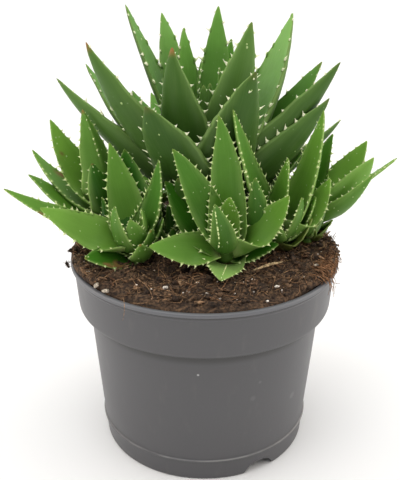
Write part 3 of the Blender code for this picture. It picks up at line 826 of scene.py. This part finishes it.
def lumps(point):
    """The unevenness of the heap at a place, in millimetres."""
    coarse = wobble(point.x * 0.11, point.y * 0.11, 3.0)
    middle = wobble(point.x * 0.24, point.y * 0.24, 7.0)
    fine = wobble(point.x * 0.60, point.y * 0.60, 11.0)
    return 1.2 * coarse + 1.7 * middle + 0.9 * fine


def heap_height(x, y):
    """The height of the heap over a place."""
    radius = math.hypot(x, y)
    line = heap_line(math.degrees(math.atan2(y, x)))
    for outer, inner in zip(line, line[1:]):
        if inner.x <= radius <= outer.x:
            share = (outer.x - radius) / (outer.x - inner.x)
            rough = lumps(Vector((x, y))) * smooth(HEAP_EDGE - radius, 0.0, 5.0)
            return outer.y + (inner.y - outer.y) * share + rough
    return line[-1].y if radius < 20.0 else line[2].y


def evenly(points, parts):
    """Points at even steps along a line."""
    lengths = [(b - a).length for a, b in zip(points, points[1:])]
    total = sum(lengths)
    result = []
    for i in range(parts + 1):
        left = total * i / parts
        for a, b, length in zip(points, points[1:], lengths):
            if left <= length or b is points[-1]:
                result.append(a.lerp(b, min(1.0, left / length)))
                break
            left -= length
    return result


def build_heap(sculpt):
    """The plug that fills the pot and the rough heap on top of it."""
    draw = random.Random(HEAP_SEED)
    azimuths = [360.0 * j / SOIL_STEPS for j in range(SOIL_STEPS)]
    rings = []
    for radius, height in SOIL_LOW:
        points = [around(azimuth, radius, height) for azimuth in azimuths]
        rings.append([(point, (*PEAT, 1.0), point) for point in points])
    lines = [evenly(heap_line(azimuth), SOIL_RINGS) for azimuth in azimuths]
    for i in range(SOIL_RINGS + 1):
        ring = []
        for azimuth, line in zip(azimuths, lines):
            point = around(azimuth, line[i].x)
            point.z = line[i].y + lumps(point) * smooth(i, 0.0, 8.0)
            shade = mixed(PEAT, PEAT_PALE, draw.random() ** 2)
            ring.append((point, (*shade, 1.0), point))
        rings.append(ring)
    top = UP * SOIL_TOP[-1][0][1]
    sculpt.loft(rings, (top, (*PEAT, 1.0), top))


@functools.cache
def icosphere(level):
    """The points and faces of a unit sphere of triangles."""
    bm = bmesh.new()
    bmesh.ops.create_icosphere(bm, subdivisions=level, radius=1.0)
    points = [vert.co.copy() for vert in bm.verts]
    faces = [tuple(vert.index for vert in face.verts) for face in bm.faces]
    bm.free()
    return points, faces


def random_turn(draw):
    """A turn in space with no direction favoured."""
    axis = Vector([draw.gauss(0.0, 1.0) for _ in range(3)]).normalized()
    return Matrix.Rotation(draw.uniform(0.0, FULL_TURN), 3, axis)


def add_lump(sculpt, level, centre, size, shade, draw, rough=0.35):
    """An uneven clod, grain or chip: a ball stretched, dented and turned."""
    points, faces = icosphere(level)
    turn = random_turn(draw)
    shift = Vector([draw.uniform(0, 90) for _ in range(3)])
    first = len(sculpt.points)
    for point in points:
        dent = 1.0 + rough * noise.noise(point * 1.7 + shift)
        dent += rough * 0.5 * noise.noise(point * 4.0 + shift)
        place = centre + turn @ (Vector((point.x * size[0], point.y * size[1], point.z * size[2])) * dent)
        sculpt.vert(place, (*shade, 1.0), place + shift)
    for face in faces:
        sculpt.faces.append(tuple(first + index for index in face))


def add_chip(sculpt, centre, length, width, thickness, shade, draw, tilt):
    """A flat chip of bark with a torn outline."""
    heading = draw.uniform(0.0, FULL_TURN)
    turn = Matrix.Rotation(draw.uniform(-tilt, tilt), 3, "X")
    turn = turn @ Matrix.Rotation(draw.uniform(-tilt, tilt), 3, "Y") @ Matrix.Rotation(heading, 3, "Z")
    outline = []
    for i in range(CHIP_POINTS):
        angle = FULL_TURN * (i + draw.uniform(-0.3, 0.3)) / CHIP_POINTS
        reach = 0.5 * draw.uniform(0.75, 1.1)
        outline.append(Vector((math.cos(angle) * length * reach, math.sin(angle) * width * reach)))
    rings = []
    for level, scale in ((-0.5, 0.86), (-0.2, 1.0), (0.2, 0.98), (0.5, 0.84)):
        ring = []
        for x, y in outline:
            height = level * thickness * draw.uniform(0.8, 1.2) + 0.06 * x ** 2 / length
            place = centre + turn @ Vector((x * scale, y * scale, height))
            ring.append((place, (*shade, 1.0), place * 1.3))
        rings.append(ring)
    sculpt.loft(rings)


def add_thread(sculpt, knots, radius, shade, sides=4, parts=6):
    """A thin fibre that runs along a smooth curve through its knots."""
    a, b, c, d = knots
    line = []
    for i in range(parts + 1):
        t = i / parts
        line.append(a * (1 - t) ** 3 + b * (3 * t * (1 - t) ** 2) + c * (3 * t * t * (1 - t)) + d * t ** 3)
    rings = []
    for i, point in enumerate(line):
        ahead = (line[min(i + 1, parts)] - line[max(i - 1, 0)]).normalized()
        side = (ahead.orthogonal() if abs(ahead.z) > 0.9 else ahead.cross(UP)).normalized()
        thin = radius * (1.0 - 0.5 * abs(2.0 * i / parts - 1.0))
        ring = oval(point, side, thin, side.cross(ahead), thin, sides)
        rings.append([(place, (*shade, 1.0), place) for place in ring])
    sculpt.loft(rings)


def scattered(draw, reach=1.0):
    """A random place on the heap's top."""
    while True:
        x = draw.uniform(-HEAP_REACH, HEAP_REACH)
        y = draw.uniform(-HEAP_REACH, HEAP_REACH)
        rim = heap_line(math.degrees(math.atan2(y, x)))[2].x
        if math.hypot(x, y) < rim * reach:
            return Vector((x, y, heap_height(x, y)))


def scatter_clods(sculpt, draw):
    """Clods and crumbs of peat all over the heap."""
    for _ in range(CLODS):
        centre = scattered(draw)
        size = 0.35 + 1.25 * draw.random() ** 2
        shade = mixed(PEAT, PEAT_PALE, draw.random() ** 1.8)
        axes = [size * draw.uniform(low, high) for low, high in ((0.8, 1.4), (0.6, 1.1), (0.5, 0.9))]
        centre.z += size * draw.uniform(-0.2, 0.8)
        add_lump(sculpt, 2 if size > 0.9 else 1, centre, axes, shade, draw)


def scatter_bark(sculpt, draw):
    """Flat chips and long slivers of bark."""
    for _ in range(CHIPS):
        centre = scattered(draw, 0.98)
        length = draw.uniform(2.0, 6.0)
        shade = mixed(BARK, BARK_PALE, draw.random() ** 2.0)
        centre.z += draw.uniform(0.1, 1.2)
        width = length * draw.uniform(0.25, 0.5)
        add_chip(sculpt, centre, length, width, draw.uniform(0.4, 0.9), shade, draw, 0.8)
    for _ in range(SLIVERS):
        centre = scattered(draw, 0.98)
        half = around(draw.uniform(0, 360), draw.uniform(0.7, 2.4), draw.gauss(0, 0.5))
        centre.z += draw.uniform(0.3, 1.3)
        knots = [centre + half * k for k in (-1.0, -0.33, 0.33, 1.0)]
        shade = mixed(BARK, BARK_PALE, draw.random() ** 1.3)
        add_thread(sculpt, knots, draw.uniform(0.25, 0.6), shade, 5, 4)


def scatter_fibres(sculpt, draw):
    """Long thin fibres that lie on the heap and curl up from it."""
    for _ in range(FIBRES):
        knots = [scattered(draw, 0.99)]
        length = draw.uniform(3.0, 13.0)
        heading = around(draw.uniform(0, 360), length * 0.33)
        for _ in range(3):
            bend = Vector((draw.gauss(0, 1.0), draw.gauss(0, 1.0), draw.gauss(0, 0.55))) * length * 0.15
            place = knots[-1] + heading + bend
            place *= min(1.0, HEAP_EDGE / math.hypot(place.x, place.y))
            place.z = heap_height(place.x, place.y) + draw.uniform(0.2, 2.0)
            knots.append(place)
        shade = mixed(PEAT_PALE, FIBRE if draw.random() < 0.6 else COIR, draw.uniform(0.0, 1.4))
        add_thread(sculpt, knots, draw.uniform(0.08, 0.19), shade)


def add_rim_hairs(sculpt, draw):
    """The frayed edges of the heap: a clump of coir over the lip at the right, and hairs at both sides."""
    for _ in range(RIM_COIR):
        azimuth = draw.gauss(-24.0, 6.5)
        places = [(draw.uniform(*radii), draw.uniform(*heights)) for radii, heights in COIR_SPANS]
        knots = [around(azimuth + draw.gauss(0, 2.0), radius, height) for radius, height in places]
        add_thread(sculpt, knots, draw.uniform(0.12, 0.24), mixed(BARK, COIR, draw.uniform(0.3, 1.2)))
    for _ in range(RIM_STRANDS):
        azimuth = draw.gauss(-30.0, 3.0)
        knots = [around(azimuth, 57.0, 95.0), around(azimuth + 2, 61.5, 95.5),
                 around(azimuth + draw.gauss(0, 2), 63.6, 91.5),
                 around(azimuth + draw.gauss(0, 4), draw.uniform(62.6, 65.0), draw.uniform(85, 90))]
        add_thread(sculpt, knots, draw.uniform(0.14, 0.22), mixed(BARK, COIR, draw.uniform(0.5, 1.3)))
    for low, high, count, tallest in RIM_HAIRS:
        for _ in range(count):
            azimuth = draw.uniform(low, high)
            foot = around(azimuth, draw.uniform(54.0, 60.0))
            foot.z = heap_height(foot.x, foot.y)
            lift = UP * (draw.uniform(0.3, 1.0) * tallest)
            lean = around(azimuth + draw.gauss(0, 50), draw.uniform(0.5, 3.0))
            knots = [foot, foot + lift * 0.4 + lean * 0.1, foot + lift * 0.8 + lean * 0.5, foot + lift + lean]
            add_thread(sculpt, knots, draw.uniform(0.10, 0.24), mixed(PEAT, BARK, draw.uniform(0.2, 1.2)))
    for centre, length in RIM_CLODS:
        place = Vector(centre)
        add_lump(sculpt, 2, place, (length * 0.55, length * 0.4, length * 0.35), PEAT, draw, 0.8)
        for _ in range(9):
            tip = place + random_turn(draw) @ Vector((length, 0.0, 0.0))
            bend = place.lerp(tip, 0.5) + UP * draw.uniform(-0.4, 0.6)
            add_thread(sculpt, [place, bend, bend, tip], 0.13, mixed(PEAT, BARK, draw.random()))


def build_soil():
    """The heap with its clods, bark, fibres and a few white grains."""
    sculpt = Sculpt(SOIL_LAYERS)
    build_heap(sculpt)
    draw = random.Random(SCATTER_SEED)
    scatter_clods(sculpt, draw)
    scatter_bark(sculpt, draw)
    scatter_fibres(sculpt, draw)
    add_rim_hairs(sculpt, draw)
    for _ in range(CRUMBS):
        size = draw.uniform(0.18, 0.40)
        centre = scattered(draw) + UP * draw.uniform(0.4, 1.6)
        shade = mixed(FIBRE, PERLITE, draw.random() ** 1.5)
        add_lump(sculpt, 1, centre, (size * 1.3, size, size * 0.8), shade, draw)
    for x, y, size in WHITE_GRAINS:
        centre = Vector((x, y, heap_height(x, y) + size * 0.9))
        add_lump(sculpt, 2, centre, (size, size * 0.75, size * 0.7), PERLITE, draw, 0.6)
    for x, y, length in GREY_CHIPS:
        centre = Vector((x, y, heap_height(x, y) + 1.2))
        add_chip(sculpt, centre, length, length * 0.5, 0.8, CHIP_GREY, draw, 0.3)
    for knots, radius, shade in THREADS:
        add_thread(sculpt, [Vector(knot) for knot in knots], radius, shade, 6, 8)
    return sculpt.piece("soil_heap", soil_material())


# Leaves

def stem_foot(rosette):
    """Where a rosette's stem starts, and the direction that it grows in."""
    return Vector((*rosette["at"], SOIL_LEVEL)), Vector((*rosette["lean"], 1.0)).normalized()


def leaf_line(rosette, row):
    """The control points of a leaf's middle line, and the directions of its side on blade and stem."""
    foot, axis = stem_foot(rosette)
    root = foot + axis * row["height"]
    if "aim" in row:
        turn, rise, length = row["aim"]
        rise = math.radians(rise)
        tip = root + around(turn, math.cos(rise), math.sin(rise)) * length
    else:
        tip = Vector(row["tip"])
    away = around(row["turn"], 1.0) if row["turn"] is not None else tip - root
    out = (away - axis * away.dot(axis)).normalized()
    start = root + out * (row["start"] or rosette["start"])
    length = (tip - start).length
    chord = (tip - start) / length
    inner = axis - chord * axis.dot(chord)
    if inner.length < 0.15:
        inner = chord * out.dot(chord) - out
    inner = Matrix.Rotation(math.radians(row["roll"]), 3, chord) @ inner.normalized()
    side = chord.cross(inner)
    middle = start + chord * (length / 2.0) - inner * (2.0 * row["bow"] * length)
    middle += side * (2.0 * row["sway"] * length)
    return start, middle, tip, side, out.cross(axis)


class Section:
    """A leaf cut across at a share of its length: its place, its axes and its measures."""

    def __init__(self, row, s):
        start, middle, tip, blade, clasp = row["line"]
        seed = row["seed"]
        self.ahead = ((middle - start) * (1.0 - s) + (tip - middle) * s).normalized()
        blade = (blade - self.ahead * blade.dot(self.ahead)).normalized()
        clasp = (clasp - self.ahead * clasp.dot(self.ahead)).normalized()
        twist = math.atan2(clasp.cross(blade).dot(self.ahead), clasp.dot(blade))
        self.side = Matrix.Rotation(twist * smooth(s, 0.0, TWIST_SPAN), 3, self.ahead) @ clasp
        self.normal = self.side.cross(self.ahead)
        place = s * (tip - start).length
        sway = wobble(place * 0.05, seed, 0.0)
        swell = wobble(place * 0.10, seed, 9.0)
        ripple = wobble(place * 0.33, seed, 5.0)
        self.heart = start * (1.0 - s) ** 2 + middle * (2.0 * s * (1.0 - s)) + tip * s ** 2
        self.heart = self.heart + self.side * (0.8 * sway * s) + self.normal * (0.6 * swell * s)
        swelling = math.sin(0.5 * math.pi * min(1.0, s / ROOT_SPAN))
        half = 0.5 * row["width"] * (1.0 - s ** row["taper"]) * (CLASP + (1.0 - CLASP) * swelling)
        half = math.hypot(half, row["blunt"] * math.sqrt(1.0 - s ** 24))
        self.half = half * (1.0 + 0.08 * swell + 0.07 * ripple * s)
        self.wrap = WRAP * self.half * (1.0 - smooth(s, 0.0, TWIST_SPAN))
        close = min(1.0, math.sqrt(max(0.0, 1.0 - s) / 0.05))
        self.dish = DISH * row["width"] * (1.0 - s) - 0.5 * close * smooth(s, 0.5, 0.9)
        depth = (THICKNESS * row["width"] * (1.0 - s ** 1.8) * 0.9 + 0.5) * (0.5 + 0.5 * swelling)
        self.depth = depth * close * (1.0 + 0.06 * sway)
        if row["dry"]:
            self.depth *= (1.0 - 0.5 * row["dry"]) * (0.8 + 0.4 * wobble(s * 9.0, seed, 4.0))
            self.half *= 0.8 + 0.35 * wobble(s * 8.0, seed, 2.0)
        self.ridge = row["ridge"] or 0.0
        self.crease = 0.0 if row["ridge"] is None else smooth(s, 0.15, 0.5)

    def skin(self, angle):
        """A point on the skin, at an angle from the edge; the inner face is the first half turn."""
        reach = math.cos(angle)
        lift = math.sin(angle)
        if lift > 0.0:
            height = -self.dish * lift
        else:
            fall = (reach + 1) / (self.ridge + 1) if reach < self.ridge else (1 - reach) / (1 - self.ridge)
            height = self.depth * (lift * (1.0 - self.crease) - self.crease * fall)
        height += self.wrap * reach * reach
        return self.heart + self.side * (self.half * reach) + self.normal * height

    def outward(self, reach, face):
        """The way out of a face at a place across it."""
        return (self.normal * face + self.side * (reach * 0.5)).normalized()


def add_tooth(sculpt, foot, out, ahead, size, blade, seed):
    """A hooked tooth, broad at its foot and curving towards the leaf's tip."""
    height, foot_long, foot_thick = size
    rings = []
    for t in (-0.16, 0.02, 0.18, 0.40, 0.66, 0.88):
        share = max(0.0, 1.0 - t)
        centre = foot + out * (height * t) + ahead * (0.50 * height * max(0.0, t) ** 1.6)
        long = foot_long * share ** 2.2 + 0.05 * height
        thick = foot_thick * share ** 1.3 + 0.03 * height
        marks = (smooth(t, -0.02, 0.38), 0.0, 0.0, 0.0)
        ring = oval(centre, ahead, long, out.cross(ahead), thick, 6)
        rings.append([(place, blade, marks, (place.x, place.z, seed)) for place in ring])
    tip = foot + out * height + ahead * (0.50 * height)
    sculpt.loft(rings, (tip, blade, (1.0, 0.0, 0.0, 0.0), (tip.x, tip.z, seed)))


def add_dot(sculpt, section, reach, face, radius, blade, seed):
    """A small pale wart on a leaf's face."""
    centre = section.skin(face * math.acos(reach))
    up = section.outward(reach, face)
    rings = []
    for share, height in ((1.0, -0.25), (0.92, 0.18), (0.62, 0.42)):
        marks = (0.0, 0.0, 0.75 if height < 0.0 else 1.0, 0.0)
        ring = oval(centre + up * (radius * height), section.ahead, 1.25 * radius * share,
                    section.ahead.cross(up), radius * share, 7)
        rings.append([(place, blade, marks, (place.x, place.z, seed)) for place in ring])
    top = centre + up * (radius * 0.55) + section.ahead * (radius * 0.2)
    sculpt.loft(rings, (top, blade, (0.0, 0.0, 1.0, 0.0), (top.x, top.z, seed)))


def browning(row, half, s, reach, outer):
    """How brown a point of a leaf is from dryness and from its scars."""
    share = row["dry"]
    length = row["length"]
    for at, across, face, radius in row["scars"]:
        if outer == (face < 0):
            gap = math.hypot((s - at) * length * 0.55, (reach - across) * half)
            ragged = 1.0 + 0.5 * wobble(s * length * 0.6, reach * 4.0, row["seed"])
            share = max(share, smooth(radius * ragged - gap, 0.0, 0.5 * radius))
    return share


def section_angles(ridge):
    """The angles of a section's points, one of them on the ridge if there is one."""
    angles = [FULL_TURN * j / SECTION_POINTS for j in range(SECTION_POINTS)]
    if ridge is not None:
        crest = FULL_TURN - math.acos(ridge)
        nearest = min(range(SECTION_POINTS), key=lambda j: abs(angles[j] - crest))
        angles[nearest] = crest
    return angles


def add_blade(sculpt, row, tone, step):
    """The body of a leaf."""
    length = row["length"]
    seed = row["seed"]
    ridge = row["ridge"]
    angles = section_angles(ridge)
    count = max(10, round(length / step))
    rings = []
    for i in range(count):
        s = 1.0 - (1.0 - i / count) ** 1.4
        section = Section(row, s)
        ring = []
        for angle in angles:
            reach = math.cos(angle)
            lift = math.sin(angle)
            outer = 0.5 if abs(lift) < 0.01 else float(lift < 0.0)
            edge = abs(reach)
            if outer == 1.0 and ridge is not None and abs(reach - ridge) < 0.02:
                edge = max(edge, 0.98 * section.crease)
            brown = browning(row, section.half, s, reach, outer == 1.0)
            grain = (section.half * reach + (40.0 if outer else 0.0), s * length, seed * 7.0)
            marks = (0.0, brown, row["bloom"], row["red"])
            ring.append((section.skin(angle), (s, edge, outer, tone), marks, grain))
        rings.append(ring)
    end = Section(row, 1.0).heart
    sculpt.loft(rings, (end, (1.0, 1.0, 0.5, tone), (0.0, row["dry"], 0.0, row["red"]),
                        (0.0, length, seed * 7.0)))


def add_teeth(sculpt, row, tone, tooth, draw):
    """The teeth along both margins, along the ridge and in any extra rows."""
    height, foot_long, foot_thick, spacing = tooth
    spacing *= row["gap"]
    length = row["length"]
    rows = [(-1.0, 0, 0.10, 0.985, 1.0), (1.0, 0, 0.10, 0.985, 1.0), *row["rows"]]
    if row["ridge"] is not None:
        rows.append((row["ridge"], -1, 0.45, 0.95, 0.8))
    for reach, face, low, high, size in rows:
        place = low * length + draw.uniform(0.2, 0.8) * spacing
        while place < high * length:
            s = place / length
            scale = (0.62 + 0.38 * math.sin(math.pi * min(1.0, s * 1.1))) * draw.uniform(0.55, 1.25) * size
            scale *= 1.0 - 0.35 * smooth(s, 0.80, 0.98)
            section = Section(row, s)
            out = section.outward(reach, face) if face else section.side * reach + section.normal * 0.15
            out = out + section.normal * draw.gauss(0.0, 0.22) + section.ahead * draw.gauss(0.05, 0.18)
            out.normalize()
            foot = section.skin((face or 1) * math.acos(reach)) - out * 0.15
            sizes = (height * scale, foot_long * math.sqrt(scale), foot_thick * math.sqrt(scale))
            add_tooth(sculpt, foot, out, section.ahead, sizes, (s, 1.0, 0.5, tone), row["seed"])
            place += spacing * draw.uniform(0.55, 1.45) * (1.0 - 0.35 * smooth(s, 0.75, 1.0))


def add_leaf(sculpt, rosette, row, seed):
    """A leaf with its teeth and warts."""
    draw = random.Random(seed)
    large = rosette["large"]
    line = leaf_line(rosette, row)
    row = {**row, "line": line, "length": (line[2] - line[0]).length, "seed": seed,
           "blunt": MAIN_BLUNT if large else PUP_BLUNT}
    tone = min(1.0, max(0.0, 0.5 + row["tone"] + draw.uniform(-0.08, 0.08)))
    add_blade(sculpt, row, tone, MAIN_STEP if large else PUP_STEP)
    if row["dry"]:
        return
    add_teeth(sculpt, row, tone, MAIN_TOOTH if large else PUP_TOOTH, draw)
    for _ in range(row["dots"]):
        s = draw.uniform(0.22, 0.9)
        face = -1 if draw.random() < 0.6 else 1
        radius = draw.uniform(0.22, 0.38) * (1.35 if large else 1.0)
        add_dot(sculpt, Section(row, s), draw.uniform(-0.75, 0.75), face, radius,
                (s, 0.3, 1.0 if face < 0 else 0.0, tone), seed)


def add_stem(sculpt, rosette):
    """The stem, ringed by old leaf scars and brown at its foot."""
    radius = rosette["stem"]
    top = rosette["top"] - (2.0 if rosette["large"] else 5.0)
    foot, axis = stem_foot(rosette)
    side = axis.orthogonal().normalized()
    front = axis.cross(side)
    outline = [Vector(pair) for pair in ((radius, -9.5), (radius, top * 0.15), (radius * 1.15, top * 0.55),
                                         (radius * 0.9, top * 0.85), (radius * 0.35, top + 2.0))]
    rings = []
    for reach, height in subdivided(outline, 1.2):
        dry = 1.0 - smooth(height, top * 0.25, top * 0.6)
        ring = []
        for j in range(STEM_SIDES):
            angle = FULL_TURN * j / STEM_SIDES
            scar = 0.35 * math.sin(height * 2.1 + 2.0 * math.sin(angle)) if height > 0.0 else 0.0
            wide = reach + scar * dry
            place = foot + axis * height + side * (math.cos(angle) * wide) + front * (math.sin(angle) * wide)
            ring.append((place, (0.1, 0.0, 1.0, 0.6), (0.0, dry, 0.0, 0.0), place))
        rings.append(ring)
    tip = foot + axis * (top + 4.0)
    sculpt.loft(rings, (tip, (0.2, 0.0, 0.0, 0.7), (0.0, 0.0, 0.0, 0.0), tip))


def build_rosette(number, rosette, name, material):
    """One rosette as a single piece."""
    sculpt = Sculpt(LEAF_LAYERS)
    seed = number * SEED_RUN
    for member in [rosette, *rosette["offsets"]]:
        add_stem(sculpt, member)
        for row in [*member["leaves"], *member["dry"]]:
            add_leaf(sculpt, member, row, seed)
            seed += 1
    return sculpt.piece(name, material)


# Studio

def build_floor():
    """A wide pale floor."""
    bm = bmesh.new()
    bmesh.ops.create_grid(bm, x_segments=20, y_segments=20, size=FLOOR_HALF)
    return finished("studio_floor", meshed("studio_floor", bm), floor_material())


def build_light():
    """A square soft light above, towards the camera's side."""
    light = bpy.data.lights.new("top_light", "AREA")
    light.size = LIGHT_SIZE
    light.energy = LIGHT_POWER
    lamp = placed("top_light", light)
    lamp.location = LIGHT_PLACE
    lamp.rotation_euler = (LIGHT_TARGET - LIGHT_PLACE).to_track_quat("-Z", "Y").to_euler()


def build_world():
    """A white surround, brightest above, bright at the sides and the back and dim behind the camera."""
    world = bpy.data.worlds.new("studio")
    shader = Shader(world)
    across, ahead, up = shader.parts(shader.place("Generated"))
    sides = shader.math("POWER", shader.math("ABSOLUTE", across), 3.0)
    level = shader.math("MULTIPLY_ADD", sides, WORLD_SIDES, WORLD_LEVEL)
    level = shader.math("MULTIPLY_ADD", ahead, WORLD_BACK, level)
    level = shader.math("MULTIPLY_ADD", shader.math("MAXIMUM", up, 0.0), WORLD_TOP, level)
    background = shader.nodes["Background"].inputs
    shader.put(background["Color"], shader.blend(sides, WORLD_WHITE, WORLD_SIDE_TINT))
    shader.put(background["Strength"], shader.math("MAXIMUM", level, WORLD_LEAST))
    bpy.context.scene.world = world


def build_camera():
    """The camera of the reference view."""
    camera = bpy.data.cameras.new("camera")
    camera.lens = CAMERA_LENS
    camera.sensor_width = 36.0
    camera.clip_start = 0.01
    view = placed("camera", camera)
    view.location = CAMERA_PLACE
    view.rotation_euler = (math.radians(90.0 - CAMERA_PITCH), 0.0, 0.0)
    bpy.context.scene.camera = view


def dress(piece, node):
    """Set a piece on the body in place of its plain node."""
    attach(piece, "root")
    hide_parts(node)


def build():
    """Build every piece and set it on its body."""
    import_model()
    large_leaf = leaf_material("aloe_leaf_large", **LARGE_LEAF)
    small_leaf = leaf_material("aloe_leaf_small", **SMALL_LEAF)
    dress(build_pot(), "pot")
    dress(build_soil(), "soil")
    for number, (node, rosette) in enumerate(ROSETTES.items()):
        material = large_leaf if rosette["large"] else small_leaf
        dress(build_rosette(number, rosette, node + "_fine", material), node)
    build_floor()
    build_world()
    build_light()
    build_camera()
    bpy.context.scene.view_settings.view_transform = "Standard"


build()
